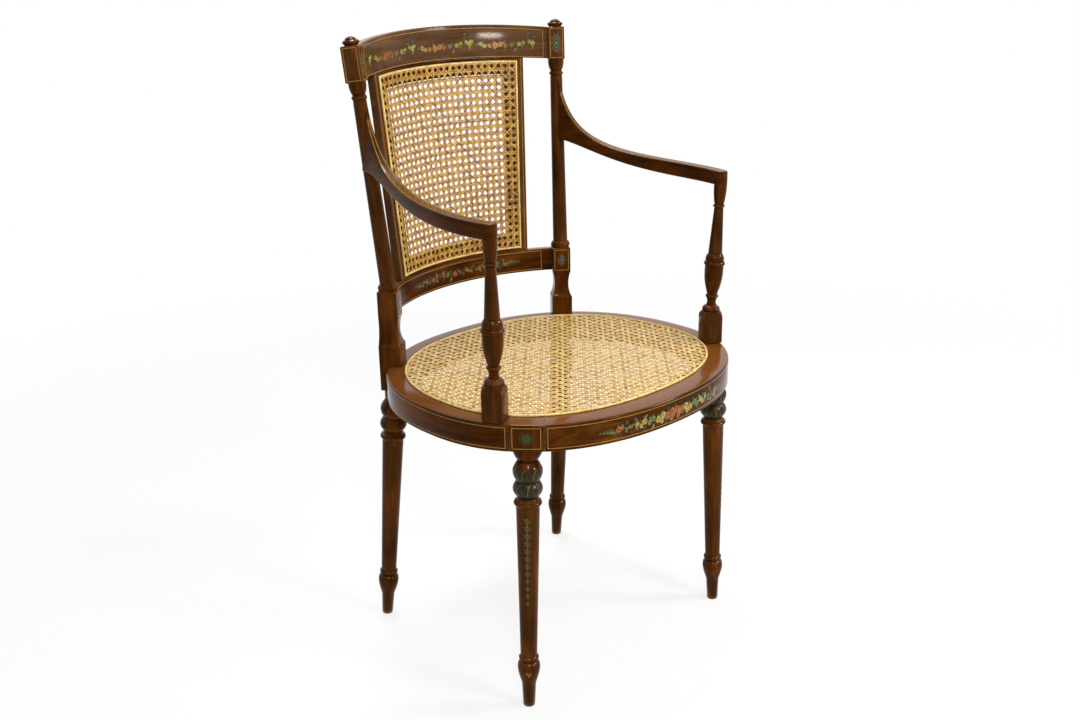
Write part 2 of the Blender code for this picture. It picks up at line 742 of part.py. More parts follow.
def post_screw_frames():
    # driven from inside the seat frame, through each rail's end into the post
    frames = []
    height = RAIL_FOOT + RAIL_DEPTH / 2
    for side in SIDES.values():
        for row in (-1, 1):
            place = block_frame(side) @ Vector((row * POST_SCREW_SPACING / 2, -POST_SCREW_HEAD, height))
            frames.append(along(place, place - bow_outward(side * POST_BEARING)))
    return frames


def arm_screw_frames():
    # driven from behind the post into the root of the arm
    frames = []
    for side in SIDES.values():
        drive = Vector((side * ARM_REAR_FLARE, -ARM_REAR_HANDLE, 0)).normalized()
        head = post_axis(side, ARM_TOP + ARM_SCREW_RISE) - drive * ARM_SCREW_HEAD
        frames.append(along(head, head - drive))
    return frames


def screws(names, frames, length):
    # the screws, and the cutters for their holes
    holes = []
    for name, frame in zip(names, frames):
        turned(name, screw_profile(length, 0.0), frame, STEEL, sides=SMALL_SIDES)
        profile = screw_profile(length, 2 * CLEARANCE, SCREW_BORE)
        holes.append(turned(name + "_hole", profile, frame, STEEL, CUTTERS, SMALL_SIDES))
    return holes


POST_SCREW_NAMES = [f"post_screw_{number}" for number in (1, 2, 3, 4)]
ARM_SCREW_NAMES = ["arm_screw_" + label for label in SIDES]
POST_SCREW_HOLES = screws(POST_SCREW_NAMES, post_screw_frames(), POST_SCREW_LENGTH)
ARM_SCREW_HOLES = screws(ARM_SCREW_NAMES, arm_screw_frames(), ARM_SCREW_LENGTH)


def finial(label, side):
    seat = upper_length() + CLEARANCE
    base = seat + FINIAL_BASE
    disc = base + FINIAL_DISC
    profile = [
        *swell(disc + FINIAL_CAP, disc, FINIAL_CROWN_RADIUS, FINIAL_CAP_RADIUS, FINIAL_CAP_SWELL),
        *swell(disc, base, FINIAL_DISC_TOP_RADIUS, FINIAL_BASE_RADIUS, FINIAL_DISC_SWELL),
        (seat, FINIAL_BASE_RADIUS),
        (seat, FINIAL_PEG_RADIUS),
        (seat - FINIAL_PEG_LENGTH, FINIAL_PEG_RADIUS),
    ]
    turned("finial_" + label, profile, upper_frame(side))


def finial_hole(label, side):
    head = upper_length()
    foot = head - FINIAL_PEG_LENGTH - CLEARANCE
    rod = (Vector((0, 0, foot)), Vector((0, 0, head + NUDGE)), FINIAL_PEG_RADIUS + 2 * CLEARANCE)
    mesh = rods_mesh("finial_hole_" + label, [rod], TURNED_SIDES)
    return add_object("finial_hole_" + label, mesh, MAHOGANY, upper_frame(side), CUTTERS)


def rear_post(label, side):
    name = "rear_post_" + label
    post = add_object(name, post_block_mesh(name), MAHOGANY, block_frame(side))
    leg = turned_leg("rear_leg_" + label, post_foot(side), REAR_LEG_SPLAY, REAR_LEG_RAKE, side, 0.0, CUTTERS)
    shaft = turned("post_shaft_" + label, post_profile(), upper_frame(side), collection=CUTTERS)
    join(post, leg, shaft, cube_box("post_cube_" + label, side, 0.0))
    cut(post, FLOOR, *POST_SCREW_HOLES, *ARM_SCREW_HOLES, finial_hole(label, side))
    cut(post, crest_tenon("crest_mortise_" + label, side, CLEARANCE))
    cut(post, lower_tenon("lower_mortise_" + label, side, CLEARANCE))


# Back rails and caned panel

def stile_point(side, height):
    return bow_point(side * STILE_BEARING * panel_spread(height), height, PANEL_SET_BACK)


def stile_box(name, side, grow, collection=None):
    foot = stile_point(side, LOWER_RAIL_HEAD - STILE_TENON)
    head = stile_point(side, crest_foot(STILE_BEARING) + STILE_TENON)
    length = (head - foot).length
    half = STILE_WIDTH / 2 + grow
    deep = STILE_DEPTH / 2 + grow
    mesh = box_mesh(name, (-half, -deep, -grow), (half, deep, length + grow))
    upright = (head - foot).normalized()
    across = bow_outward(side * STILE_BEARING).cross(upright).normalized()
    turn = Matrix((across, upright.cross(across), upright)).transposed().to_4x4()
    return add_object(name, mesh, MAHOGANY, Matrix.Translation(foot) @ turn, collection)


def lower_block_box(name, side):
    half = LOWER_BLOCK_WIDTH / 2 + CLEARANCE
    mesh = box_mesh(name, (-half, -half, BLOCK_FOOT - NUDGE), (half, half, BLOCK_HEAD + NUDGE))
    return add_object(name, mesh, MAHOGANY, block_frame(side), CUTTERS)


def rail_bearings(block_width, height):
    # a little past the inner faces of the posts' blocks
    limit = POST_BEARING - (block_width / 2 - NUDGE) / bow_radius(height)
    return spread(-limit, limit, BOW_STEPS)


def back_rails():
    crest = bowed_sheet("crest_rail", rail_bearings(CUBE_WIDTH, CREST_FOOT), [0, 1], crest_foot, crest_top,
                        0.0, CREST_THICKNESS, MAHOGANY)
    lower = bowed_sheet("lower_back_rail", rail_bearings(LOWER_BLOCK_WIDTH, LOWER_RAIL_FOOT), [0, 1],
                        lambda bearing: LOWER_RAIL_FOOT, lambda bearing: LOWER_RAIL_HEAD,
                        0.0, LOWER_RAIL_THICKNESS, MAHOGANY)
    for label, side in SIDES.items():
        cut(crest, cube_box("crest_shoulder_" + label, side, CLEARANCE))
        join(crest, crest_tenon("crest_tenon_" + label, side, 0.0))
        cut(lower, lower_block_box("lower_shoulder_" + label, side))
        join(lower, lower_tenon("lower_tenon_" + label, side, 0.0))
        mortise = stile_box("stile_mortise_" + label, side, CLEARANCE, CUTTERS)
        cut(crest, mortise)
        cut(lower, mortise)
        stile_box("panel_stile_" + label, side, 0.0)


def panel_foot(bearing):
    return LOWER_RAIL_HEAD + CLEARANCE


def panel_head(bearing):
    return crest_foot(bearing) - CLEARANCE


def slip_bearings(height):
    # between the stiles, before the sheet is widened
    front = bow_radius(height) + PANEL_SET_BACK - STILE_DEPTH / 2
    limit = STILE_BEARING - asin((STILE_WIDTH / 2 + CLEARANCE) / front) / panel_spread(height)
    return spread(-limit, limit, BOW_STEPS)


def panel_slips():
    # thin top and bottom rails of the cane frame
    bowed_sheet("panel_bottom_slip", slip_bearings(LOWER_RAIL_HEAD), [0, 1], panel_foot,
                lambda bearing: panel_foot(bearing) + SLIP_HEIGHT, PANEL_SET_BACK, STILE_DEPTH, MAHOGANY,
                widen=panel_spread)
    bowed_sheet("panel_top_slip", slip_bearings(CREST_FOOT - SLIP_HEIGHT), [0, 1],
                lambda bearing: panel_head(bearing) - SLIP_HEIGHT, panel_head, PANEL_SET_BACK, STILE_DEPTH,
                MAHOGANY, widen=panel_spread)


def net_lines(span):
    # edges of the gaps along a strip of net, from 0 to span
    bar = NET_PITCH - NET_GAP
    inside = span - 2 * NET_RIM + bar
    count = max(1, round(inside / NET_PITCH))
    pitch = inside / count
    lines = [0.0]
    for i in range(count):
        start = NET_RIM + i * pitch
        lines += [start, start + pitch - bar]
    return lines + [span]


def caned_back():
    radius = bow_radius((LOWER_RAIL_HEAD + CREST_FOOT) / 2)
    edge = STILE_BEARING - (STILE_WIDTH / 2 - PANEL_LAP) / radius
    margin = SLIP_HEIGHT - SLIP_LAP

    def low(bearing):
        return panel_foot(bearing) + margin

    def high(bearing):
        return panel_head(bearing) - margin

    bearings = [line / radius - edge for line in net_lines(2 * edge * radius)]
    tall = high(0) - low(0)
    rows = [line / tall for line in net_lines(tall)]
    cane = PANEL_SET_BACK - (STILE_DEPTH / 2 + CLEARANCE + CANE_THICKNESS / 2)
    bowed_sheet("back_cane", bearings, rows, low, high, cane, CANE_THICKNESS, CANE,
                lambda column, row: column % 2 == 1 and row % 2 == 1, panel_spread)

    turn = BINDING_WIDTH / radius
    strip = BINDING_WIDTH / tall
    columns = [-edge, *spread(turn - edge, edge - turn, BOW_STEPS), edge]
    binding = cane - (CANE_THICKNESS + BINDING_THICKNESS) / 2 - CLEARANCE
    bowed_sheet("back_cane_binding", columns, [0, strip, 1 - strip, 1], low, high, binding,
                BINDING_THICKNESS, CANE, lambda column, row: 0 < column <= BOW_STEPS and row == 1,
                panel_spread)


# Seat rails and caned seat

def post_housing(label, side):
    half = BASE_BLOCK_WIDTH / 2 + CLEARANCE
    name = "post_housing_" + label
    mesh = box_mesh(name, (-half, -half, RAIL_FOOT - NUDGE), (half, half, SEAT_HEIGHT + NUDGE))
    return add_object(name, mesh, MAHOGANY, block_frame(side), CUTTERS)


def seat_rails():
    foot = post_foot(1)
    ray = atan2(foot.x, -foot.y)
    split = CLEARANCE / 2 / min(RAIL_INSIDE[:3])
    front = FRONT_LEG_BEARING
    spans = {
        "front_seat_rail": (-front, front),
        "right_seat_rail": (front, ray - split),
        "rear_seat_rail": (ray + split, 2 * pi - ray - split),
        "left_seat_rail": (split - ray, -front),
    }
    legs, posts = {}, {}
    for label, side in SIDES.items():
        legs[label] = leg_block_box("leg_housing_" + label, side, CLEARANCE)
        posts[label] = post_housing(label, side)
    for name, (first, last) in spans.items():
        rail = plate(name, [ring_sector(first, last)], RAIL_FOOT, RAIL_DEPTH, MAHOGANY)
        for label, side in SIDES.items():
            if name in ("front_seat_rail", label + "_seat_rail"):
                cut(rail, legs[label])
            if name in ("rear_seat_rail", label + "_seat_rail"):
                cut(rail, posts[label])
            if name == label + "_seat_rail":
                cut(rail, seat_tenon("seat_mortise_" + label, side, CLEARANCE))
        if name != "rear_seat_rail":
            cut(rail, DOWEL_HOLES)
        if name != "front_seat_rail":
            cut(rail, *POST_SCREW_HOLES)


def inside_cane(x, y, inset):
    side, front, back = (reach - inset for reach in CANE_EDGE[:3])
    reach = front if y < 0 else back
    return (abs(x) / side) ** CANE_SQUARENESS + (abs(y) / reach) ** CANE_SQUARENESS < 1


def caned_seat():
    half = NET_GAP / 2
    gaps = []
    columns = int(SEAT_HALF_WIDTH / NET_PITCH) + 1
    rows = int(SEAT_BACK_REACH / NET_PITCH) + 1
    for column in range(-columns, columns + 1):
        for row in range(-rows, rows + 1):
            x, y = column * NET_PITCH, row * NET_PITCH
            turns = [(-1, -1), (1, -1), (1, 1), (-1, 1)]
            corners = [(x + half * across, y + half * up) for across, up in turns]
            if all(inside_cane(*corner, NET_RIM) for corner in corners):
                gaps.append(corners)
    foot = SEAT_HEIGHT + CLEARANCE
    plate("seat_cane", [oval(CANE_EDGE), *gaps], foot, CANE_THICKNESS, CANE)
    top = foot + CANE_THICKNESS + CLEARANCE
    strip = [oval(CANE_EDGE), oval(CANE_EDGE, BINDING_WIDTH)]
    plate("seat_cane_binding", strip, top, BINDING_THICKNESS, CANE)


# Arm posts and arms

def arm_post_base(side):
    return seat_spot(side * ARM_POST_BEARING, ARM_POST_INSET)


def arm_post_top(side):
    base = arm_post_base(side)
    return base + Vector((side * ARM_POST_SPLAY, -ARM_POST_RAKE, 0))


def arm_post_frame(side):
    return stand(arm_post_base(side), edge_outward(side * ARM_POST_BEARING))


def seat_tenon(name, side, grow):
    foot = SEAT_HEIGHT - SEAT_TENON_LENGTH - grow
    rod = (Vector((0, 0, foot)), Vector((0, 0, SEAT_HEIGHT + NUDGE)), SEAT_TENON_RADIUS + 2 * grow)
    mesh = rods_mesh(name, [rod], TURNED_SIDES)
    return add_object(name, mesh, MAHOGANY, arm_post_frame(side), CUTTERS)


def arm_post_profile(length):
    # from the tenon in the arm down into the top of the square block
    neck = length - ARM_NECK
    ring = neck - ARM_RING
    base = ARM_BASE_RING
    waist = base + ARM_WAIST
    bead = waist + ARM_BEAD
    urn = bead + ARM_URN
    rim = urn + ARM_URN_RIM
    shoulder = rim + ARM_SHOULDER
    return [
        (length + ARM_TENON_LENGTH, ARM_TENON_RADIUS),
        (length, ARM_TENON_RADIUS),
        (length, ARM_COLLAR_RADIUS),
        *swell(length - FILLET, neck, ARM_COLLAR_RADIUS, ARM_NECK_RADIUS, ARM_NECK_SWELL),
        *swell(neck - FILLET, ring, ARM_SHAFT_TOP_RADIUS, ARM_SHAFT_TOP_RADIUS,
               ARM_RING_RADIUS - ARM_SHAFT_TOP_RADIUS, SMALL_SWELL_STEPS),
        (ring - FILLET, ARM_SHAFT_TOP_RADIUS),
        (shoulder + FILLET, ARM_SHAFT_FOOT_RADIUS),
        *swell(shoulder, rim, ARM_SHAFT_FOOT_RADIUS, ARM_SHOULDER_RADIUS, ARM_SHOULDER_SWELL,
               SMALL_SWELL_STEPS),
        *swell(rim - FILLET, urn, ARM_SHOULDER_RADIUS, ARM_SHOULDER_RADIUS,
               ARM_RIM_RADIUS - ARM_SHOULDER_RADIUS),
        *swell(urn - FILLET, bead, ARM_SHOULDER_RADIUS, ARM_URN_FOOT_RADIUS, ARM_URN_SWELL),
        *swell(bead - FILLET, waist, ARM_URN_FOOT_RADIUS, ARM_URN_FOOT_RADIUS,
               ARM_BEAD_RADIUS - ARM_URN_FOOT_RADIUS, SMALL_SWELL_STEPS),
        *swell(waist - FILLET, base, ARM_WAIST_END_RADIUS, ARM_WAIST_END_RADIUS,
               ARM_WAIST_RADIUS - ARM_WAIST_END_RADIUS, SMALL_SWELL_STEPS),
        *swell(base - FILLET, 0.0, ARM_BASE_HEAD_RADIUS, ARM_BASE_RADIUS, ARM_BASE_SWELL, SMALL_SWELL_STEPS),
        (-NUDGE, ARM_BASE_RADIUS),
    ]


def arm_post(label, side):
    foot = SEAT_HEIGHT + CLEARANCE
    head = foot + ARM_BLOCK_HEIGHT
    base, top = arm_post_base(side), arm_post_top(side)
    base.z = head
    top.z = ARM_FOOT
    tilt = ARM_COLLAR_RADIUS * hypot(ARM_POST_SPLAY, ARM_POST_RAKE) / (ARM_FOOT - head)
    length = (top - base).length - CLEARANCE - tilt
    post = turned("arm_post_" + label, arm_post_profile(length), along(base, top))

    half = ARM_BLOCK_WIDTH / 2
    name = "arm_block_" + label
    block = add_object(name, box_mesh(name, (-half, -half, foot), (half, half, head)), MAHOGANY,
                       arm_post_frame(side), CUTTERS)
    corner = half * sqrt(2) + NUDGE
    pommel = [
        *swell(head + NUDGE, head - ARM_BLOCK_POMMEL, half, corner, NUDGE),
        (foot - NUDGE, corner),
    ]
    boolean(block, turned("pommel_" + label, pommel, arm_post_frame(side), collection=CUTTERS), "INTERSECT")
    join(post, block, seat_tenon("seat_tenon_" + label, side, 0.0))


def bezier(points, share):
    rest = 1 - share
    weights = (rest ** 3, 3 * rest ** 2 * share, 3 * rest * share ** 2, share ** 3)
    return sum((point * weight for point, weight in zip(points, weights)), Vector((0, 0, 0)))


def arm_path(side):
    # plan of the arm's middle line, from the back post's axis to the rounded front end
    root = post_axis(side, ARM_TOP + ARM_SWEEP_RISE / 2)
    root.z = 0
    rear = Vector((side * ARM_REAR_FLARE, -ARM_REAR_HANDLE, 0))
    front = Vector((side * ARM_FRONT_FLARE, ARM_FRONT_HANDLE, 0))
    end = arm_post_top(side) - front.normalized() * ARM_OVERHANG
    handles = (root, root + rear, end + front, end)
    return [bezier(handles, share) for share in spread(0.0, 1.0, ARM_PATH_STEPS)]


def arm_runs(total):
    # stations along the arm, close together at the root and round the front end
    straight = total - ARM_END_ROUND
    runs = [straight * share ** ARM_STATION_POWER for share in spread(0.0, 1.0, ARM_STATIONS)]
    turns = spread(0.0, pi / 2, ARM_END_STEPS)[1:]
    return runs + [straight + ARM_END_ROUND * sin(turn) for turn in turns]


def arm_top(run):
    # height of the arm's top over a place along it: the sweep follows the post, which leans away
    middle = ARM_TOP + ARM_SWEEP_RISE / 2
    lean = BACK_LEAN * cos(POST_BEARING)
    low, high = ARM_TOP, ARM_TOP + ARM_SWEEP_RISE
    for step in range(ARM_SWEEP_STEPS):
        height = (low + high) / 2
        climb = max(0.0, run - POST_HEAD_RADIUS + lean * (height - middle))
        rise = ARM_SWEEP_RISE * exp(-(climb / ARM_SWEEP_LENGTH) ** ARM_SWEEP_POWER)
        if height < ARM_TOP + rise:
            low = height
        else:
            high = height
    return low


def arm_section(place, across, width, foot, top):
    half = width / 2
    edge = ARM_CHAMFER
    shape = [(-half, foot + edge), (edge - half, foot), (half - edge, foot), (half, foot + edge),
             (half, top - edge), (half - edge, top), (edge - half, top), (-half, top - edge)]
    return [place + across * offset + Vector((0, 0, height)) for offset, height in shape]


def arm_mesh(name, side):
    path = arm_path(side)
    lengths = [0.0]
    for first, second in zip(path, path[1:]):
        lengths.append(lengths[-1] + (second - first).length)
    rings = []
    for run in arm_runs(lengths[-1]):
        i = max(k for k, length in enumerate(lengths[:-1]) if length <= run)
        ahead = (path[i + 1] - path[i]).normalized()
        place = path[i] + ahead * (run - lengths[i])
        across = Vector((-ahead.y, ahead.x, 0))
        climb = max(0.0, run - POST_HEAD_RADIUS)
        foot = ARM_FOOT + ARM_UNDER_RISE * exp(-(climb / ARM_UNDER_LENGTH) ** ARM_UNDER_POWER)
        width = ARM_WIDTH - (ARM_WIDTH - ARM_ROOT_WIDTH) * exp(-climb / ARM_SWEEP_LENGTH)
        inset = max(0.0, ARM_END_ROUND - (lengths[-1] - run))
        width -= 2 * (ARM_END_ROUND - sqrt(ARM_END_ROUND ** 2 - inset ** 2)) * ARM_END_NARROWING
        rings.append(arm_section(place, across, width, foot, arm_top(run)))
    return loft_mesh(name, rings)


def arm(label, side):
    piece = add_object("arm_" + label, arm_mesh("arm_" + label, side), MAHOGANY)
    cope = turned("post_cope_" + label, post_profile(CLEARANCE), upper_frame(side), collection=CUTTERS)
    cut(piece, cope)
    base, top = arm_post_base(side), arm_post_top(side)
    base.z = SEAT_HEIGHT + ARM_BLOCK_HEIGHT
    top.z = ARM_FOOT
    axis = (top - base).normalized()
    deep = top + axis * (ARM_TENON_LENGTH + CLEARANCE)
    rod = (top - axis * NUDGE, deep, ARM_TENON_RADIUS + 2 * CLEARANCE)
    name = "arm_mortise_" + label
    cut(piece, add_object(name, rods_mesh(name, [rod], TURNED_SIDES), MAHOGANY, collection=CUTTERS))
    cut(piece, *ARM_SCREW_HOLES)


seat_rails()
caned_seat()
back_rails()
panel_slips()
caned_back()
for LABEL, SIDE in SIDES.items():
    front_leg(LABEL, SIDE)
    rear_post(LABEL, SIDE)
    finial(LABEL, SIDE)
    arm_post(LABEL, SIDE)
    arm(LABEL, SIDE)
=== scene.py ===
import bmesh
import bpy
from bisect import bisect_right
from math import acos, asin, atan, atan2, cos, exp, hypot, pi, radians, sin, sqrt
from mathutils import Matrix, Vector


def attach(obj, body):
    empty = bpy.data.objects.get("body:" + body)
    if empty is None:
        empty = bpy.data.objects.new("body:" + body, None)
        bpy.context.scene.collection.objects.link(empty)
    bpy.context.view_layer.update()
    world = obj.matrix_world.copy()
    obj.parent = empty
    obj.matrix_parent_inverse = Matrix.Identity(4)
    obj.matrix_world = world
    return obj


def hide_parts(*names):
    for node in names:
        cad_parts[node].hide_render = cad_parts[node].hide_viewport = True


# Painted mahogany elbow chair: finer wood, woven cane and painted ornament round the CAD frame.
# Metres, +Z up, the chair's front towards -Y. "Right" is +X, as seen from the front.
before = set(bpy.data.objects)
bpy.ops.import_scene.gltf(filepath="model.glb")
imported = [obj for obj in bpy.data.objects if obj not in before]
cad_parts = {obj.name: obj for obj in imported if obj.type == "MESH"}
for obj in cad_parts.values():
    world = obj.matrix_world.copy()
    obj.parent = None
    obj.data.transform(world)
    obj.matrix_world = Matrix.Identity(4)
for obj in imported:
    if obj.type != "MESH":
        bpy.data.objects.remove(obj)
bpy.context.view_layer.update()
print("frame loaded,", len(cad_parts), "nodes")

upward = Vector((0, 0, 1))
handed = {"left": -1, "right": 1}
# joint lines, height and depth of turned grooves, ends tucked into a neighbour, cuts run past a piece
# and the distance under which two points of a profile count as one
fit = dict(gap=0.0003, fillet=0.0011, nick=0.0011, tuck=0.0015, past=0.01, same=0.00002)
golden = 0.618034       # steps by this share never fall twice on one tone


# placing

def stand(base, outward, lean=0.0):
    # local +Z leans towards outward, local +Y faces outward
    turn = Matrix.Rotation(atan2(-outward.x, outward.y), 4, "Z") @ Matrix.Rotation(-lean, 4, "X")
    return Matrix.Translation(base) @ turn


def along(start, end):
    return Matrix.Translation(start) @ (end - start).to_track_quat("Z", "Y").to_matrix().to_4x4()


def spread(first, last, steps):
    return [first + (last - first) * i / steps for i in range(steps + 1)]


def quarter(radius, steps=3):
    # a rounded corner from (0, radius) to (radius, 0), as offsets from the sharp corner
    return [(radius - radius * cos(a), radius - radius * sin(a)) for a in spread(0, pi / 2, steps)]


# meshes are gathered in shapes, as lists of points and faces with the grain's own coordinates

def newShape():
    return dict(points=[], faces=[], grain=[], paint=[])


def addPart(shape, points, faces, grain):
    start = len(shape["points"])
    shape["points"] += points
    shape["faces"] += [[start + i for i in face] for face in faces]
    shape["grain"] += grain


def loft(rings, closed=False):
    # skins a row of rings, with a cap at each end unless the row closes on itself
    count = len(rings[0])
    points = [Vector(point) for ring in rings for point in ring]
    faces = []
    for i in range(len(rings) if closed else len(rings) - 1):
        low, high = i * count, (i + 1) % len(rings) * count
        for k in range(count):
            m = (k + 1) % count
            faces.append([low + k, low + m, high + m, high + k])
    if not closed:
        faces.append(list(range(count)))
        faces.append([(len(rings) - 1) * count + k for k in range(count)])
    return points, faces


def listed(bm):
    bm.verts.index_update()
    points = [vert.co.copy() for vert in bm.verts]
    faces = [[vert.index for vert in face.verts] for face in bm.faces]
    bm.free()
    return points, faces


def trimmed(points, faces, planes):
    # cuts a closed mesh off at planes, each a place and the direction that is taken away
    bm = bmesh.new()
    verts = [bm.verts.new(point) for point in points]
    for face in faces:
        bm.faces.new([verts[i] for i in face])
    for place, away in planes:
        everything = [*bm.verts, *bm.edges, *bm.faces]
        bmesh.ops.bisect_plane(bm, geom=everything, plane_co=place, plane_no=away, clear_outer=True)
        bmesh.ops.edgeloop_fill(bm, edges=[edge for edge in bm.edges if edge.is_boundary])
    return listed(bm)


def plainObject(name, points, faces):
    mesh = bpy.data.meshes.new(name)
    mesh.from_pydata([tuple(point) for point in points], [], faces)
    bm = bmesh.new()
    bm.from_mesh(mesh)
    bmesh.ops.recalc_face_normals(bm, faces=bm.faces)
    bm.to_mesh(mesh)
    bm.free()
    item = bpy.data.objects.new(name, mesh)
    bpy.context.scene.collection.objects.link(item)
    return item


def notched(points, faces, matrix, half, foot, head):
    # takes a square housing out of a mesh
    corners = ((-half, -half), (half, -half), (half, half), (-half, half))
    box = loft([[matrix @ Vector((x, y, height)) for x, y in corners] for height in (foot, head)])
    rail, tool = plainObject("railBlank", points, faces), plainObject("housing", *box)
    cut = rail.modifiers.new("housing", "BOOLEAN")
    cut.operation, cut.solver, cut.object = "DIFFERENCE", "EXACT", tool
    bm = bmesh.new()
    bm.from_object(rail, bpy.context.evaluated_depsgraph_get())
    for item in (rail, tool):
        bpy.data.objects.remove(item)
    return listed(bm)


def writeAttribute(mesh, name, kind, key, values):
    flat = [number for value in values for number in value]
    mesh.attributes.new(name, kind, "POINT").data.foreach_set(key, flat)


def finishPiece(name, shape, material, slot, *nodes, crease=32):
    item = plainObject(name, shape["points"], shape["faces"])
    writeAttribute(item.data, "grain", "FLOAT_VECTOR", "vector", shape["grain"])
    if shape["paint"]:
        writeAttribute(item.data, "paint", "FLOAT_COLOR", "color", shape["paint"])
    item.data.shade_smooth()
    item.data.set_sharp_from_angle(angle=radians(crease))
    item.data.materials.append(material)
    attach(item, "root")
    if nodes:
        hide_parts(*nodes)


def pieceName(node):
    first, *words = node.split("_")
    return first + "".join(word.title() for word in words)


# materials

def feed(tree, socket, value):
    if isinstance(value, bpy.types.NodeSocket):
        tree.links.new(value, socket)
    else:
        socket.default_value = value


def addNode(tree, kind, inputs=None, **settings):
    made = tree.nodes.new("ShaderNode" + kind)
    for key, value in settings.items():
        setattr(made, key, value)
    for key, value in (inputs or {}).items():
        feed(tree, made.inputs[key], value)
    return made


def maths(tree, operation, *values):
    return addNode(tree, "Math", dict(enumerate(values)), operation=operation).outputs["Value"]


def attribute(tree, name, kind):
    return addNode(tree, "Attribute", attribute_name=name).outputs[kind]


def parted(tree, vector):
    return addNode(tree, "SeparateXYZ", {"Vector": vector}).outputs


def ramp(tree, value, stops):
    made = addNode(tree, "ValToRGB", {"Fac": value})
    elements = made.color_ramp.elements
    while len(elements) < len(stops):
        elements.new(0.5)
    for element, (place, colour) in zip(elements, stops):
        element.position = place
        element.color = (*colour, 1)
    return made.outputs["Color"]


def mixed(tree, share, first, second, blend="MIX"):
    made = addNode(tree, "Mix", data_type="RGBA", blend_type=blend)
    feed(tree, made.inputs[0], share)
    for index, value in ((6, first), (7, second)):
        feed(tree, made.inputs[index], value if isinstance(value, bpy.types.NodeSocket) else (*value, 1))
    return made.outputs[2]


def stretched(tree, vector, scale):
    return addNode(tree, "Mapping", {"Vector": vector, "Scale": scale}).outputs["Vector"]


def noise(tree, vector, scale, detail=4.0, distortion=0.0):
    return addNode(tree, "TexNoise", {"Vector": vector, "Scale": scale, "Detail": detail,
                                      "Distortion": distortion}).outputs["Fac"]


def ranged(tree, value, low, high, toLow, toHigh):
    return addNode(tree, "MapRange", {"Value": value, "From Min": low, "From Max": high, "To Min": toLow,
                                      "To Max": toHigh}).outputs["Result"]


def newMaterial(name):
    made = bpy.data.materials.new(name)
    made.use_nodes = True
    return made, made.node_tree, made.node_tree.nodes["Principled BSDF"]


def setShader(tree, shader, **inputs):
    for key, value in inputs.items():
        feed(tree, shader.inputs[key.replace("_", " ")], value)


def addBump(tree, shader, height, strength, distance):
    bump = addNode(tree, "Bump", {"Height": height, "Strength": strength, "Distance": distance})
    tree.links.new(bump.outputs["Normal"], shader.inputs["Normal"])


mahoganyLook = dict(dark=(0.014, 0.0040, 0.0005), middle=(0.050, 0.0125, 0.0012),
                    light=(0.116, 0.032, 0.0034), worn=(0.17, 0.085, 0.034), dirt=(0.0060, 0.0024, 0.0008),
                    faded=(0.20, 0.064, 0.014), sole=(0.13, 0.075, 0.036), soleHeight=0.004, grimeAndShadeReach=0.003,
                    gloss=(1.0, 0.66, 0.22), topGloss=(1.0, 0.94, 0.88), specular=0.080, topSpecular=0.26)
# the crest's colours are paler than the rest: a painted sheen, for broad reflection on its face
crestSheenLook = dict(mahoganyLook, dark=(0.042, 0.016, 0.005), middle=(0.086, 0.036, 0.013),
                 light=(0.135, 0.064, 0.025), gloss=(1.0, 0.92, 0.80), specular=0.11)
# stretch along the grain, scale, detail and distortion
mahoganyGrain = dict(fibre=(0.045, 620, 5, 0.3), figure=(0.12, 70, 3, 0.8), cloud=(0.5, 22, 2, 0.0),
                     pores=(0.03, 2600, 2, 0.0))


def mahoganyMaterial(name, look):
    made, tree, shader = newMaterial(name)
    grain = attribute(tree, "grain", "Vector")
    fibre, figure, cloud, pores = (noise(tree, stretched(tree, grain, (1, 1, stretch)), *marks)
                                   for stretch, *marks in mahoganyGrain.values())
    both = maths(tree, "MULTIPLY_ADD", cloud, 0.8, maths(tree, "MULTIPLY_ADD", fibre, 0.35, figure))
    colour = ramp(tree, ranged(tree, both, 0.78, 1.40, 0, 1),
                  [(0.0, look["dark"]), (0.5, look["middle"]), (1.0, look["light"])])
    geometry = addNode(tree, "NewGeometry").outputs
    facing = parted(tree, geometry["Normal"])["Z"]
    # painted light: faces that look upward are painted paler, as if lit from above
    colour = mixed(tree, ranged(tree, facing, 0.80, 0.97, 0.0, 0.7), colour, look["faded"])
    colour = mixed(tree, ranged(tree, pores, 0.60, 0.72, 0.0, 0.3), colour, look["dark"])
    edges = ranged(tree, geometry["Pointiness"], 0.53, 0.60, 0.0, 0.5)
    colour = mixed(tree, maths(tree, "MULTIPLY", edges, noise(tree, grain, 90, 4)), colour, look["worn"])
    # grime and painted shade: darker close to other wood, in grooves and where parts meet
    corners = addNode(tree, "AmbientOcclusion", {"Distance": look["grimeAndShadeReach"]}, samples=6).outputs["AO"]
    colour = mixed(tree, ranged(tree, corners, 0.35, 0.85, 0.6, 0.0), colour, look["dirt"])
    scuffed = maths(tree, "MULTIPLY", noise(tree, grain, 260, 5), look["soleHeight"] * 2)
    bare = maths(tree, "LESS_THAN", parted(tree, geometry["Position"])["Z"], scuffed)
    colour = mixed(tree, bare, colour, look["sole"])
    tint = mixed(tree, ranged(tree, facing, 0.3, 0.9, 0.0, 1.0), look["gloss"], look["topGloss"])
    setShader(tree, shader, Base_Color=colour, Roughness=ranged(tree, fibre, 0.3, 0.7, 0.09, 0.15),
              Specular_IOR_Level=ranged(tree, facing, 0.3, 0.9, look["specular"], look["topSpecular"]),
              Specular_Tint=tint)
    addBump(tree, shader, pores, 0.04, 0.0002)
    return made


# gap is the colour of painted shade between strands and at their rims
caneLook = dict(deep=(0.13, 0.042, 0.006), honey=(0.46, 0.235, 0.045), straw=(0.80, 0.585, 0.225),
                gap=(0.050, 0.015, 0.002), gapShadeReach=0.0040)
backLook = dict(caneLook, deep=(0.075, 0.026, 0.003), honey=(0.40, 0.190, 0.024), straw=(0.70, 0.430, 0.085))


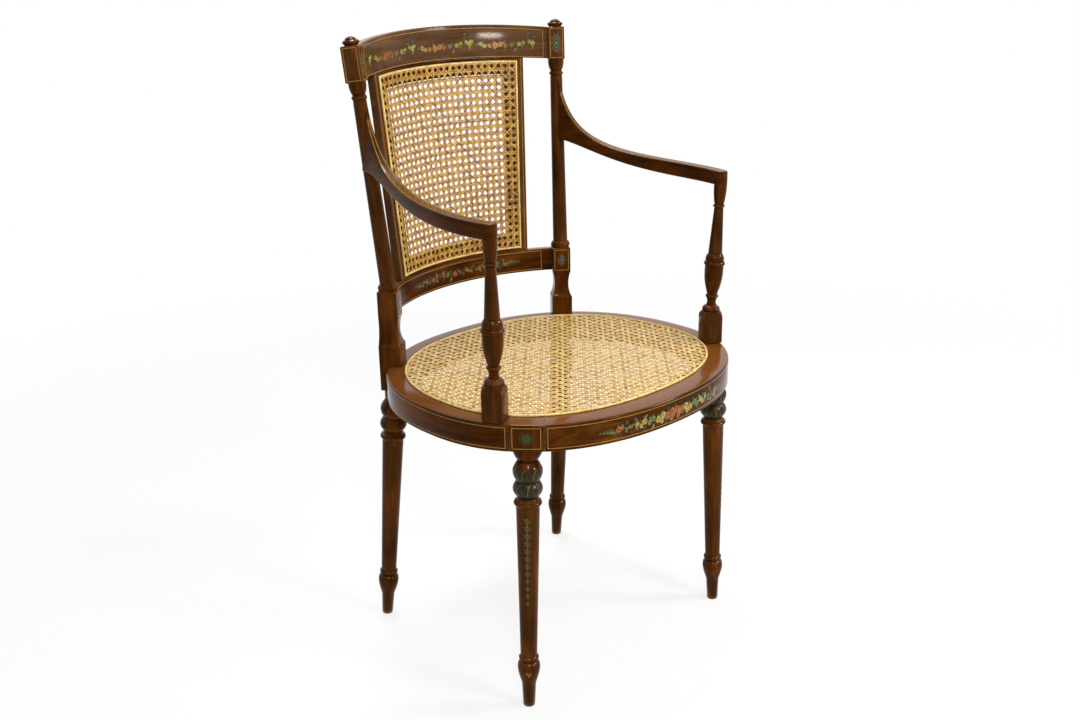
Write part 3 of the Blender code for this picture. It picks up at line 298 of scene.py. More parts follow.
def caneMaterial(name, look, lift, edge):
    # edge is half of a strand's width, and its rim lies in shade
    made, tree, shader = newMaterial(name)
    grain = attribute(tree, "grain", "Vector")
    parts = parted(tree, grain)
    streak = noise(tree, stretched(tree, grain, (1, 0.2, 0.05)), 900, 4)
    tones = maths(tree, "ADD", streak, noise(tree, grain, 34, 3))
    tones = maths(tree, "MULTIPLY_ADD", maths(tree, "FRACT", parts["Y"]), 0.8, tones)
    colour = ramp(tree, ranged(tree, tones, 0.90 - lift, 1.90 - lift, 0, 1),
                  [(0.0, look["deep"]), (0.45, look["honey"]), (1.0, look["straw"])])
    # painted shade: darker where other strands lie close, at crossings and between pairs
    strandShade = addNode(tree, "AmbientOcclusion", {"Distance": look["gapShadeReach"]}, samples=6).outputs["AO"]
    colour = mixed(tree, ranged(tree, strandShade, 0.25, 0.90, 0.92, 0.0), colour, look["gap"])
    rim = ranged(tree, maths(tree, "ABSOLUTE", parts["X"]), 0.55 * edge, edge, 0.0, 0.9)
    colour = mixed(tree, rim, colour, look["gap"])
    setShader(tree, shader, Base_Color=colour, Roughness=ranged(tree, streak, 0.3, 0.7, 0.32, 0.52),
              Specular_IOR_Level=0.30)
    addBump(tree, shader, streak, 0.25, 0.0002)
    return made


paintLook = dict(shade=(0.30, 0.20, 0.10), wood=(0.070, 0.026, 0.007), gloss=(1.0, 0.9, 0.75, 1.0))


def paintMaterial(look):
    # oil paint: each stroke's own colour, broken by brush marks and rubbed thin in places
    made, tree, shader = newMaterial("ornament paint")
    paint = attribute(tree, "paint", "Color")
    place = addNode(tree, "NewGeometry").outputs["Position"]
    marks = noise(tree, stretched(tree, place, (1, 1, 0.4)), 900, 4)
    age = noise(tree, place, 190, 4)
    colour = mixed(tree, ranged(tree, marks, 0.40, 0.75, 0.0, 0.6), paint, look["shade"], "MULTIPLY")
    colour = mixed(tree, ranged(tree, age, 0.50, 0.78, 0.0, 0.60), colour, look["wood"])
    setShader(tree, shader, Base_Color=colour, Roughness=ranged(tree, marks, 0.3, 0.7, 0.20, 0.34),
              Specular_IOR_Level=0.19, Specular_Tint=look["gloss"])
    addBump(tree, shader, marks, 0.2, 0.0002)
    return made


def hiddenMaterial(name, first, second, metallic, scale):
    # dowels and screws inside the joints
    made, tree, shader = newMaterial(name)
    place = addNode(tree, "NewGeometry").outputs["Position"]
    marks = noise(tree, stretched(tree, place, (1, 1, 0.2)), scale, 4)
    setShader(tree, shader, Base_Color=ramp(tree, marks, [(0.3, first), (0.7, second)]), Metallic=metallic,
              Roughness=ranged(tree, marks, 0.3, 0.7, 0.35, 0.55))
    return made


mahogany = mahoganyMaterial("polished mahogany", mahoganyLook)
crestSheenWood = mahoganyMaterial("polished mahogany of the crest with painted sheen", crestSheenLook)
backCane = caneMaterial("woven cane of the back", backLook, 0.05, 0.00105)
seatCane = caneMaterial("woven cane of the seat", caneLook, 0.25, 0.0018)
bindingCane = caneMaterial("binding cane", caneLook, 0.36, 0.01)
paintFilm = paintMaterial(paintLook)
beechWood = hiddenMaterial("beech", (0.42, 0.27, 0.14), (0.56, 0.39, 0.22), 0.0, 700)
steel = hiddenMaterial("steel", (0.34, 0.33, 0.32), (0.50, 0.49, 0.47), 1.0, 1500)
for name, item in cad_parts.items():
    if "dowel" in name or "screw" in name:
        item.data.materials.clear()
        item.data.materials.append(beechWood if "dowel" in name else steel)
print("materials made")


def woodPiece(node, shape, wood=mahogany):
    finishPiece(pieceName(node), shape, wood, "mahogany", node)


def woodMesh(node, points, faces, grain, wood=mahogany):
    shape = newShape()
    addPart(shape, points, faces, grain)
    woodPiece(node, shape, wood)


def canePiece(node, shape, cane):
    finishPiece(pieceName(node), shape, cane, "cane", node, crease=60)


def paintPiece(name, shape):
    finishPiece(name, shape, paintFilm, "mahogany")


# the oval seat

seat = dict(top=0.431, depth=0.038, middle=-0.0371, halfWidth=0.260, frontReach=0.212, backReach=0.248,
            squareness=2.25, caneSide=0.0275, caneFront=0.034, caneBack=0.027, caneSquareness=2.3,
            ledge=0.012, edgeRound=0.0030, footRound=0.0012, innerRound=0.0008, step=radians(1.5),
            slope=radians(0.5))
railFoot = seat["top"] - seat["depth"]
railOutside = (seat["halfWidth"], seat["frontReach"], seat["backReach"], seat["squareness"])
caneEdge = (seat["halfWidth"] - seat["caneSide"], seat["frontReach"] - seat["caneFront"],
            seat["backReach"] - seat["caneBack"], seat["caneSquareness"])
railInside = (*(reach - seat["ledge"] for reach in caneEdge[:3]), seat["caneSquareness"])


def ovalPoint(bearing, outline, inset=0.0):
    # bearing turns from the front towards the right
    *reaches, power = outline
    side, front, back = (reach - inset for reach in reaches)
    across, ahead = sin(bearing), -cos(bearing)
    reach = front if ahead < 0 else back
    radius = ((abs(across) / side) ** power + (abs(ahead) / reach) ** power) ** (-1 / power)
    return Vector((radius * across, seat["middle"] + radius * ahead, 0))


def ovalOutward(bearing, outline=railOutside):
    run = ovalPoint(bearing + seat["slope"], outline) - ovalPoint(bearing - seat["slope"], outline)
    return Vector((run.y, -run.x, 0)).normalized()


def seatSpot(bearing, inset):
    return ovalPoint(bearing, railOutside) - ovalOutward(bearing) * inset


def railSection(bearing):
    # the rail's section at one bearing, rounded at its edges
    outside, inside = ovalPoint(bearing, railOutside), ovalPoint(bearing, railInside)
    inward = (inside - outside).normalized()
    width = (inside - outside).length
    top, foot = seat["top"], railFoot
    shape = [(d, foot + h) for d, h in reversed(quarter(seat["footRound"]))]
    shape += [(d, top - h) for d, h in quarter(seat["edgeRound"], 5)]
    shape += [(width - d, top - h) for d, h in reversed(quarter(seat["innerRound"]))]
    shape += [(width - d, foot + h) for d, h in quarter(seat["innerRound"])]
    return [outside + inward * d + upward * h for d, h in shape]


def railSweep(first, last):
    steps = max(4, round((last - first) / seat["step"]))
    return loft([railSection(bearing) for bearing in spread(first, last, steps)])


def ringGrain(points, middle):
    # grain of a bent rail runs round the seat
    grain = []
    for point in points:
        turn = (atan2(point.x, seat["middle"] - point.y) - middle + pi) % (2 * pi) - pi
        reach = hypot(point.x, point.y - seat["middle"])
        grain.append((reach, point.z, turn * seat["halfWidth"] + middle))
    return grain


# turned work

def swell(top, bottom, topRadius, bottomRadius, bulge, steps=10, peak=1.0):
    # one turned member: a taper with a bead or, where bulge is negative, a hollow
    points = []
    for share in spread(0.0, 1.0, steps):
        radius = topRadius + (bottomRadius - topRadius) * share + bulge * sin(pi * share ** peak)
        points.append((top + (bottom - top) * share, radius))
    return points


def joined(*members):
    # turned members one under another, with a fine groove cut between each two
    points = list(members[0])
    for member in members[1:]:
        (above, first), (below, second) = points[-1], member[0]
        points.append(((above + below) / 2, min(first, second) - fit["nick"]))
        points += member
    return points


def addPlaced(shape, rings, matrix):
    # rings in a piece's own frame, which is also that of its grain
    points, faces = loft(rings)
    addPart(shape, [matrix @ point for point in points], faces, [tuple(point) for point in points])


def addTurned(shape, profile, matrix, count=56):
    # profile runs from top to bottom as (height, radius), and doubled points are left out
    kept = [profile[0]]
    for height, radius in profile[1:]:
        if hypot(height - kept[-1][0], radius - kept[-1][1]) > fit["same"]:
            kept.append((height, radius))
    turns = [2 * pi * k / count for k in range(count)]
    addPlaced(shape, [[(radius * cos(a), radius * sin(a), height) for a in turns] for height, radius in kept],
              matrix)


def squareRing(height, half, rounding, front=None, back=None, clip=None, steps=4):
    # a square section with rounded corners, or with corners turned down to a circle of radius clip
    ring = []
    for k, (right, rear) in enumerate(((1, 1), (-1, 1), (-1, -1), (1, -1))):
        deep = (back if rear > 0 else front) or half
        if clip and clip < half * sqrt(2):
            flat = acos(min(1.0, half / clip))
            corner = [(clip * cos(a), clip * sin(a)) for a in spread(flat, pi / 2 - flat, steps)]
        else:
            corner = [(half - rounding + rounding * cos(a), deep - rounding + rounding * sin(a))
                      for a in spread(0, pi / 2, steps)]
        if k % 2:
            corner.reverse()
        ring += [(right * x, rear * y, height) for x, y in corner]
    return ring


def roundedFoot(foot, half, rounding):
    return [squareRing(foot + h, half - d, rounding) for d, h in reversed(quarter(rounding))]


def roundedSection(topHalf, footHalf, top, foot, topRound, footRound, steps=3):
    # a section with four rounded corners, as (across, height)
    shape = [(-topHalf + d, top - h) for d, h in quarter(topRound, steps)]
    shape += [(topHalf - d, top - h) for d, h in reversed(quarter(topRound, steps))]
    shape += [(footHalf - d, foot + h) for d, h in quarter(footRound, steps)]
    return shape + [(-footHalf + d, foot + h) for d, h in reversed(quarter(footRound, steps))]


def blockRings(foot, head, half, ease):
    # a square block with eased ends
    return [squareRing(height, side, ease) for height, side in (
        (foot, half - ease), (foot + ease, half), (head - ease, half), (head, half - ease))]


def profileRadius(profile, height):
    for (high, first), (low, second) in zip(profile, profile[1:]):
        if low <= height <= high and high > low:
            return first + (second - first) * (high - height) / (high - low)
    return profile[-1][1]


# legs

leg = dict(frontBearing=radians(57), frontInset=0.0195, frontSplay=0.011, frontRake=-0.003, blockWidth=0.046,
           rearSplay=0.015, rearRake=0.035, neck=0.0175, neckRadius=0.0155, neckFlare=0.0046, throat=0.0138,
           groove=0.0160, bulbRadius=0.0203, upperBulb=0.0295, lowerBulb=0.0240, bulbFoot=0.0143, cove=0.005,
           coveHollow=0.0012, ring=0.0065, ringEdge=0.0180, ringRadius=0.0195, shaftTop=0.0163,
           shaftFoot=0.0118, ankle=0.0075, ankleRadius=0.0142, footBulb=0.0375, footSwell=0.0047,
           footPeak=0.6, foot=0.036, footTop=0.0100, sole=0.0085, soleEase=0.0015)


def legProfile(length, flare):
    neck = length - leg["neck"]
    throat, groove, fillet = leg["throat"], leg["groove"], fit["fillet"]
    bulb = neck - leg["upperBulb"]
    lower = bulb - leg["lowerBulb"]
    slim = leg["bulbFoot"]
    cove = lower - leg["cove"]
    edge = leg["ringEdge"]
    ring = cove - leg["ring"]
    ankle = leg["foot"] + leg["footBulb"]
    shaft = ankle + leg["ankle"]
    thin = leg["shaftFoot"]
    return joined(
        swell(length + fit["tuck"], neck, leg["neckRadius"] + flare, throat, flare / 2),
        swell(neck - fillet, bulb, throat, groove, leg["bulbRadius"] - (throat + groove) / 2, 14),
        swell(bulb - fillet, lower, groove, slim, leg["bulbRadius"] - (groove + slim) / 2, 14),
        swell(lower - fillet, cove, slim, edge, -leg["coveHollow"]),
        swell(cove - fillet, ring, edge, edge, leg["ringRadius"] - edge),
        [(ring - fillet, leg["shaftTop"]), (shaft + fillet, thin)],
        swell(shaft, ankle, thin, thin, leg["ankleRadius"] - thin),
        [*swell(ankle - fillet, leg["foot"], thin, leg["footTop"], leg["footSwell"], 16, leg["footPeak"]),
         (leg["soleEase"], leg["sole"]), (fit["gap"], leg["sole"] - leg["soleEase"] / 2)],
    )


def legFrame(top, splay, rake, side):
    sole = Vector((top.x + side * splay, top.y + rake, 0))
    head = Vector((top.x, top.y, railFoot))
    return along(sole, head), (head - sole).length


def legBlockPlanes(side, half):
    # the two upright planes beside a front leg's block, as (place, direction away from the block)
    bearing = side * leg["frontBearing"]
    place = stand(seatSpot(bearing, leg["frontInset"]), ovalOutward(bearing))
    across = place.to_3x3() @ Vector((1, 0, 0))
    return [(place @ Vector((end * half, 0, 0)), across * end) for end in (-1, 1)]


def frontLegAxes(side):
    top = seatSpot(side * leg["frontBearing"], leg["frontInset"])
    return legFrame(top, leg["frontSplay"], leg["frontRake"], side)


def frontLeg(label, side):
    shape = newShape()
    matrix, length = frontLegAxes(side)
    addTurned(shape, legProfile(length, leg["neckFlare"]), matrix)
    reach = 2 * leg["blockWidth"] / seat["halfWidth"]
    bearing = side * leg["frontBearing"]
    sweep = railSweep(bearing - reach / 2, bearing + reach / 2)
    points, faces = trimmed(*sweep, legBlockPlanes(side, leg["blockWidth"] / 2))
    addPart(shape, points, faces, [tuple(point) for point in points])
    woodPiece("front_leg_" + label, shape)


# back posts

back = dict(postSeatBearing=radians(136.4), postInset=0.0055, postBearing=radians(37.5), lean=0.0925,
            height=0.4635, baseWidth=0.033, baseRise=0.031, shank=0.043, shankWidth=0.0225, shankHollow=0.7,
            blockHeight=0.040, blockWidth=0.0293, lowRing=0.010, lowRingRadius=0.0140, lowRingSwell=0.0022,
            footRadius=0.0118, headRadius=0.0097, highRing=0.006, highRingRadius=0.0111, neck=0.003,
            collar=0.0155, collarRadius=0.0125, collarFoot=0.0102, collarSwell=0.0009, cubeHeight=0.050,
            cubeWidth=0.0257, rounding=0.0009)
finialSize = dict(base=0.0015, disc=0.006, cap=0.0045, baseRadius=0.0100, discTop=0.0095, discSwell=0.0026,
                  capRadius=0.0078, capSwell=0.0018, crown=0.0025)
baseHead = seat["top"] + back["baseRise"]
blockFoot = baseHead + back["shank"]
blockHead = blockFoot + back["blockHeight"]
cubeTop = seat["top"] + back["height"]
leanAngle = atan(back["lean"])
upperLength = (cubeTop - blockHead) / cos(leanAngle)
postSpot = seatSpot(back["postSeatBearing"], back["postInset"])
bowRadiusAtPosts = postSpot.x / sin(back["postBearing"])
bowCentre = postSpot.y - bowRadiusAtPosts * cos(back["postBearing"])


def conePoint(bearing, radius, height):
    return Vector((radius * sin(bearing), bowCentre + radius * cos(bearing), height))


def bowOutward(bearing):
    return Vector((sin(bearing), cos(bearing), 0))


def postAxis(side, height):
    radius = bowRadiusAtPosts + back["lean"] * (height - blockHead)
    return conePoint(side * back["postBearing"], radius, height)


def blockFrame(side):
    foot = postAxis(side, blockHead)
    return stand(Vector((foot.x, foot.y, 0)), bowOutward(side * back["postBearing"]))


def upperFrame(side):
    return stand(postAxis(side, blockHead), bowOutward(side * back["postBearing"]), leanAngle)


def shankRings():
    base, low, thin = back["baseWidth"] / 2, back["blockWidth"] / 2, back["shankWidth"] / 2
    rounding = back["rounding"]
    rings = roundedFoot(railFoot, base, rounding)
    rings.append(squareRing(baseHead - rounding, base, rounding))
    for share in spread(0.0, 1.0, 24):
        hollow = sin(pi * share) ** back["shankHollow"] if 0 < share < 1 else 0.0
        edge = base + (low - base) * share
        half = edge + (thin - edge) * hollow
        rings.append(squareRing(baseHead + back["shank"] * share, half, rounding, back=edge))
    rings.append(squareRing(blockHead - rounding, low, rounding))
    return rings + [squareRing(blockHead - h, low - d, rounding) for d, h in quarter(rounding)[1:]]


def postProfile():
    collar = upperLength - back["cubeHeight"]
    neck = collar - back["collar"]
    ring = neck - back["neck"]
    shaft = ring - back["highRing"]
    low = back["lowRing"]
    fillet, head = fit["fillet"], back["headRadius"]
    return joined(
        [(collar + fit["tuck"], back["collarRadius"]),
         *swell(collar, neck, back["collarRadius"], back["collarFoot"], back["collarSwell"])],
        [(neck - fillet, head), (ring + fillet, head)],
        swell(ring, shaft, head, head, back["highRingRadius"] - head),
        [(shaft - fillet, head), (low + fillet, back["footRadius"])],
        [*swell(low, 0.0, back["footRadius"] + fillet, back["lowRingRadius"], back["lowRingSwell"]),
         (-fit["tuck"], back["lowRingRadius"])],
    )


def rearPost(label, side):
    shape = newShape()
    foot = postAxis(side, blockHead)
    matrix, length = legFrame(foot, leg["rearSplay"], leg["rearRake"], side)
    addTurned(shape, legProfile(length, 0.0), matrix)
    addPlaced(shape, shankRings(), blockFrame(side))
    addTurned(shape, postProfile(), upperFrame(side))
    cube = blockRings(upperLength - back["cubeHeight"], upperLength, back["cubeWidth"] / 2, back["rounding"])
    addPlaced(shape, cube, upperFrame(side))
    woodPiece("rear_post_" + label, shape)


def finial(label, side):
    shape = newShape()
    size = finialSize
    base = upperLength + size["base"]
    disc = base + size["disc"]
    profile = [
        *swell(disc + size["cap"], disc, size["crown"], size["capRadius"], size["capSwell"], 14),
        *swell(disc, base, size["discTop"], size["baseRadius"], size["discSwell"], 14),
        (upperLength - fit["tuck"], size["baseRadius"]),
    ]
    addTurned(shape, profile, upperFrame(side))
    woodPiece("finial_" + label, shape)


# back rails and the frame of the cane panel

rails = dict(crestHeight=0.048, crestArch=0.008, crestCrown=0.011, crestThick=0.016, crestSetBack=-0.001,
             crestRound=0.0024, lowerHeight=0.036, lowerThick=0.018, lowerSetBack=0.005, lowerRound=0.0014,
             steps=72)
panel = dict(stileBearing=radians(24.00), stileWidth=0.034, stileDepth=0.0115, slipHeight=0.025,
             slipLap=0.021, lap=0.023, taper=0.0533, setBack=0.00075, rounding=0.0008)
crestFootHeight = cubeTop - (back["cubeHeight"] + rails["crestHeight"]) / 2
lowerFoot = blockFoot + (back["blockHeight"] - rails["lowerHeight"]) / 2
lowerHead = lowerFoot + rails["lowerHeight"]
panelLean = back["lean"] + (rails["crestSetBack"] - rails["lowerSetBack"]) / (crestFootHeight - lowerHead)
panelAngle = atan(panelLean)


def bowRadius(height):
    return bowRadiusAtPosts + rails["lowerSetBack"] + panelLean * (height - lowerHead)


def bowPlace(bearing, height, offset=0.0):
    # a place on the bowed back, offset square to the cone and away from the sitter
    square = bowOutward(bearing) * cos(panelAngle) - upward * sin(panelAngle)
    return conePoint(bearing, bowRadius(height), height) + square * offset


def archShare(bearing):
    return 1 - (bearing / back["postBearing"]) ** 2


def crestFoot(bearing):
    return crestFootHeight + rails["crestArch"] * archShare(bearing)


def crestTop(bearing):
    return crestFootHeight + rails["crestHeight"] + rails["crestCrown"] * archShare(bearing)


def panelSpread(height):
    # the cane panel widens from the lower rail to the crest
    return 1 + panel["taper"] * ((height - lowerHead) / (crestFootHeight - lowerHead) - 0.5)


def evenSpread(height):
    return 1.0


def bowGrain(point):
    bearing = atan2(point.x, point.y - bowCentre)
    return (hypot(point.x, point.y - bowCentre), point.z, bearing * bowRadiusAtPosts)


def bowRail(node, low, high, thick, rounding, limit, planes, setBack=0.0, widen=evenSpread, wood=mahogany):
    # low and high are the rail's edges at a bearing
    rings = []
    for bearing in spread(-limit, limit, rails["steps"]):
        section = roundedSection(thick / 2, thick / 2, high(bearing), low(bearing), rounding, rounding)
        rings.append([bowPlace(bearing * widen(height), height, offset + setBack)
                      for offset, height in section])
    points, faces = trimmed(*loft(rings), planes)
    woodMesh(node, points, faces, [bowGrain(point) for point in points], wood)


def shoulderPlanes(frameOf, half):
    # the inner faces of the posts' squares, where a rail's shoulders stop
    planes = []
    for side in handed.values():
        place = frameOf(side)
        outer = place.to_3x3() @ Vector((side, 0, 0))
        planes.append((place @ Vector((-side * (half + fit["gap"]), 0, 0)), outer))
    return planes


def panelFoot(bearing):
    return lowerHead + fit["gap"]


def panelHead(bearing):
    return crestFoot(bearing) - fit["gap"]


def stileFrame(side):
    # the stile's place with its foot on the lower rail, and its length
    spots = []
    for height in (lowerHead, crestFoot(panel["stileBearing"])):
        bearing = side * panel["stileBearing"] * panelSpread(height)
        spots.append(bowPlace(bearing, height, panel["setBack"]))
    foot, head = spots
    upright = (head - foot).normalized()
    across = bowOutward(side * panel["stileBearing"]).cross(upright).normalized()
    turn = Matrix((across, upright.cross(across), upright)).transposed().to_4x4()
    return Matrix.Translation(foot) @ turn, (head - foot).length


def slipLimit(height):
    front = bowRadius(height) + panel["setBack"] - panel["stileDepth"] / 2
    return panel["stileBearing"] - asin((panel["stileWidth"] / 2 + fit["gap"]) / front) / panelSpread(height)


def backRails():
    limit = back["postBearing"]
    bowRail("crest_rail", crestFoot, crestTop, rails["crestThick"], rails["crestRound"], limit,
            shoulderPlanes(upperFrame, back["cubeWidth"] / 2), wood=crestSheenWood)
    bowRail("lower_back_rail", lambda bearing: lowerFoot, lambda bearing: lowerHead, rails["lowerThick"],
            rails["lowerRound"], limit, shoulderPlanes(blockFrame, back["blockWidth"] / 2))
    tall, deep, rounding = panel["slipHeight"], panel["stileDepth"], panel["rounding"]
    bowRail("panel_bottom_slip", panelFoot, lambda bearing: panelFoot(bearing) + tall, deep, rounding,
            slipLimit(lowerHead), [], panel["setBack"], panelSpread)
    bowRail("panel_top_slip", lambda bearing: panelHead(bearing) - tall, panelHead, deep, rounding,
            slipLimit(crestFootHeight - tall), [], panel["setBack"], panelSpread)
    for label, side in handed.items():
        shape = newShape()
        place, length = stileFrame(side)
        rings = [squareRing(height, panel["stileWidth"] / 2, rounding, deep / 2, deep / 2)
                 for height in (-fit["tuck"], length + fit["tuck"])]
        addPlaced(shape, rings, place)
        woodPiece("panel_stile_" + label, shape)


# seat rails

def seatRails():
    postRay = atan2(postSpot.x, seat["middle"] - postSpot.y)
    spill = radians(6)      # swept past each end, then cut back to the joint
    split = fit["gap"] / 2

    def rayPlane(side, forwards):
        # the joint between a side rail and the rear rail, through the post
        ray = Vector((sin(side * postRay), -cos(side * postRay), 0))
        turning = Vector((-ray.y, ray.x, 0)) * side
        away = turning * (1 if forwards else -1)
        return Vector((0, seat["middle"], 0)) - away * split, away

    legPlanes = {side: legBlockPlanes(side, leg["blockWidth"] / 2 + fit["gap"]) for side in handed.values()}
    frontPlanes = [(place, -away) for side in handed.values() for place, away in legPlanes[side]
                   if away.x * side < 0]
    runs = {"front_seat_rail": (-leg["frontBearing"], leg["frontBearing"], frontPlanes, ()),
            "rear_seat_rail": (postRay - spill, 2 * pi - postRay + spill,
                               [rayPlane(side, False) for side in handed.values()], handed.values())}
    for label, side in handed.items():
        first, last = sorted((side * leg["frontBearing"], side * (postRay + spill)))
        planes = [(place, -away) for place, away in legPlanes[side] if away.x * side > 0]
        runs[label + "_seat_rail"] = (first, last, planes + [rayPlane(side, True)], (side,))
    for node, (first, last, planes, housings) in runs.items():
        mesh = trimmed(*railSweep(first, last), planes)
        for side in housings:
            mesh = notched(*mesh, blockFrame(side), back["baseWidth"] / 2 + fit["gap"],
                           railFoot - fit["past"], seat["top"] + fit["past"])
        woodMesh(node, *mesh, ringGrain(mesh[0], (first + last) / 2))


# arm posts and arms

armPost = dict(bearing=radians(67.2), inset=0.0140, splay=0.006, rake=-0.007, blockWidth=0.028,
               blockHeight=0.050, pommel=0.012, neck=0.028, ring=0.006, shoulder=0.011,
               rim=0.0085, urn=0.044, bead=0.007, waist=0.011, base=0.0095, collarRadius=0.0098,
               neckRadius=0.0074, neckSwell=0.0006, ringRadius=0.0090,
               shaftTop=0.0070, shaftFoot=0.0106, shoulderRadius=0.0142, shoulderSwell=0.0012,
               rimRadius=0.0161, urnFoot=0.0080, urnSwell=0.0022, beadRadius=0.0099, waistRadius=0.0068,
               waistEnd=0.0078, baseHead=0.0098, baseRadius=0.0123, baseSwell=0.0025, rounding=0.0008,
               pommelTop=1.02)      # in halves of the block's width
armSize = dict(height=0.265, thick=0.0195, width=0.020, rootWidth=0.0195, crownWidth=0.0052,
               sweepRise=0.118, sweepLength=0.036, sweepPower=0.66, underRise=0.044, underLength=0.112,
               underPower=1.5, overhang=0.010, sweepSteps=30,
               rearHandle=0.075, rearFlare=0.006, frontHandle=0.102, frontFlare=0.0305, edge=0.0030,
               endRound=0.0098, endNarrowing=0.96, endReach=0.999, stations=84, stationPower=1.35,
               endSteps=9, routeSteps=240, edgeLimit=0.6, browLimit=0.45)
armTop = seat["top"] + armSize["height"]
armFoot = armTop - armSize["thick"]


def armPostBase(side):
    return seatSpot(side * armPost["bearing"], armPost["inset"])


def armPostTop(side):
    return armPostBase(side) + Vector((side * armPost["splay"], armPost["rake"], 0))


def armPostProfile(length):
    size, fillet = armPost, fit["fillet"]
    neck = length - size["neck"]
    ring = neck - size["ring"]
    waist = size["base"] + size["waist"]
    bead = waist + size["bead"]
    urn = bead + size["urn"]
    rim = urn + size["rim"]
    shoulder = rim + size["shoulder"]
    return joined(
        [(length + fit["tuck"], size["collarRadius"]),
         *swell(length - fillet, neck, size["collarRadius"], size["neckRadius"], size["neckSwell"], 14)],
        swell(neck - fillet, ring, size["shaftTop"], size["shaftTop"], size["ringRadius"] - size["shaftTop"]),
        [(ring - fillet, size["shaftTop"]), (shoulder + fillet, size["shaftFoot"])],
        swell(shoulder, rim, size["shaftFoot"], size["shoulderRadius"], size["shoulderSwell"]),
        swell(rim - fillet, urn, size["shoulderRadius"], size["shoulderRadius"],
              size["rimRadius"] - size["shoulderRadius"]),
        swell(urn - fillet, bead, size["shoulderRadius"], size["urnFoot"], size["urnSwell"], 14),
        swell(bead - fillet, waist, size["urnFoot"], size["urnFoot"], size["beadRadius"] - size["urnFoot"]),
        swell(waist - fillet, size["base"], size["waistEnd"], size["waistEnd"],
              size["waistRadius"] - size["waistEnd"]),
        [*swell(size["base"] - fillet, 0.0, size["baseHead"], size["baseRadius"], size["baseSwell"]),
         (-fit["tuck"], size["baseRadius"])],
    )


def armPostPiece(label, side):
    shape = newShape()
    foot = seat["top"] + fit["gap"]
    head = foot + armPost["blockHeight"]
    base, top = armPostBase(side), armPostTop(side)
    base.z, top.z = head, armFoot
    addTurned(shape, armPostProfile((top - base).length), along(base, top))
    half, rounding = armPost["blockWidth"] / 2, armPost["rounding"]
    corner = half * sqrt(2) - rounding * (sqrt(2) - 1)
    rings = roundedFoot(foot, half, rounding)
    turned = swell(head, head - armPost["pommel"], half * armPost["pommelTop"], corner, fit["tuck"], 12)
    for height, clip in reversed(turned):
        rings.append(squareRing(height, half, rounding, clip=min(clip, corner + rounding)))
    addPlaced(shape, rings, stand(armPostBase(side), ovalOutward(side * armPost["bearing"])))
    woodPiece("arm_post_" + label, shape)


def bezier(points, share):
    rest = 1 - share
    weights = (rest ** 3, 3 * rest ** 2 * share, 3 * rest * share ** 2, share ** 3)
    return sum((point * weight for point, weight in zip(points, weights)), Vector((0, 0, 0)))


def armRoute(side):
    # plan of the arm's middle line with the length reached at each point, from the post to the front end
    root = postAxis(side, armTop + armSize["sweepRise"] / 2)
    root.z = 0
    rear = Vector((side * armSize["rearFlare"], -armSize["rearHandle"], 0))
    front = Vector((side * armSize["frontFlare"], armSize["frontHandle"], 0))
    end = armPostTop(side) - front.normalized() * armSize["overhang"]
    points = (root, root + rear, end + front, end)
    path = [bezier(points, share) for share in spread(0.0, 1.0, armSize["routeSteps"])]
    lengths = [0.0]
    for first, second in zip(path, path[1:]):
        lengths.append(lengths[-1] + (second - first).length)
    return path, lengths


armRoutes = {side: armRoute(side) for side in handed.values()}


def armTopAt(run):
    # the sweep follows the post, which leans away from the arm
    size, tip = armSize, armTop + armSize["sweepRise"]
    lean = back["lean"] * cos(back["postBearing"])
    low, high = armTop, tip
    for _ in range(size["sweepSteps"]):
        height = (low + high) / 2
        climb = max(0.0, run - back["headRadius"] + lean * (height - (armTop + tip) / 2))
        rise = size["sweepRise"] * exp(-(climb / size["sweepLength"]) ** size["sweepPower"])
        low, high = (height, high) if height < armTop + rise else (low, height)
    return low


def armStation(side, run):
    # place, direction, width, width of the top, underside and top of the arm at one length along it
    path, lengths = armRoutes[side]
    total = lengths[-1]
    i = min(len(path) - 2, max(0, bisect_right(lengths, run) - 1))
    ahead = (path[i + 1] - path[i]).normalized()
    place = path[i] + ahead * (run - lengths[i])
    climb = max(0.0, run - back["headRadius"])
    size = armSize
    top = armTopAt(run)
    foot = armFoot + size["underRise"] * exp(-(climb / size["underLength"]) ** size["underPower"])
    width = size["width"] - (size["width"] - size["rootWidth"]) * exp(-climb / size["sweepLength"])
    inset = min(size["endRound"], max(0.0, size["endRound"] - (total - run)))
    width -= 2 * (size["endRound"] - sqrt(size["endRound"] ** 2 - inset ** 2)) * size["endNarrowing"]
    crown = width - (size["width"] - size["crownWidth"]) * (top - armTop) / size["sweepRise"]
    return place, ahead, width, crown, foot, top


def armBrow(narrow):
    # rounding of the top's edges, less where the top is narrow
    return min(armSize["edge"], narrow * armSize["browLimit"])


def armSection(side, run):
    place, ahead, width, crown, foot, top = armStation(side, run)
    across = Vector((-ahead.y, ahead.x, 0))
    half, narrow = width / 2, crown / 2
    edge = min(armSize["edge"], half * armSize["edgeLimit"])
    section = roundedSection(narrow, half, top, foot, armBrow(narrow), edge, 4)
    return [place + across * offset + upward * height for offset, height in section]


def arm(label, side):
    total = armRoutes[side][1][-1]
    straight = total - armSize["endRound"]
    runs = [straight * share ** armSize["stationPower"] for share in spread(0.0, 1.0, armSize["stations"])]
    runs += [straight + armSize["endRound"] * sin(turn) * armSize["endReach"]
             for turn in spread(0.0, pi / 2, armSize["endSteps"])[1:]]
    rings = [armSection(side, run) for run in runs]
    points, faces = loft(rings)
    count = len(rings[0])
    middles = [armStation(side, run)[0] for run in runs]
    grain = [((point - middles[i // count]).xy.length, point.z, runs[i // count])
             for i, point in enumerate(points)]
    woodMesh("arm_" + label, points, faces, grain)


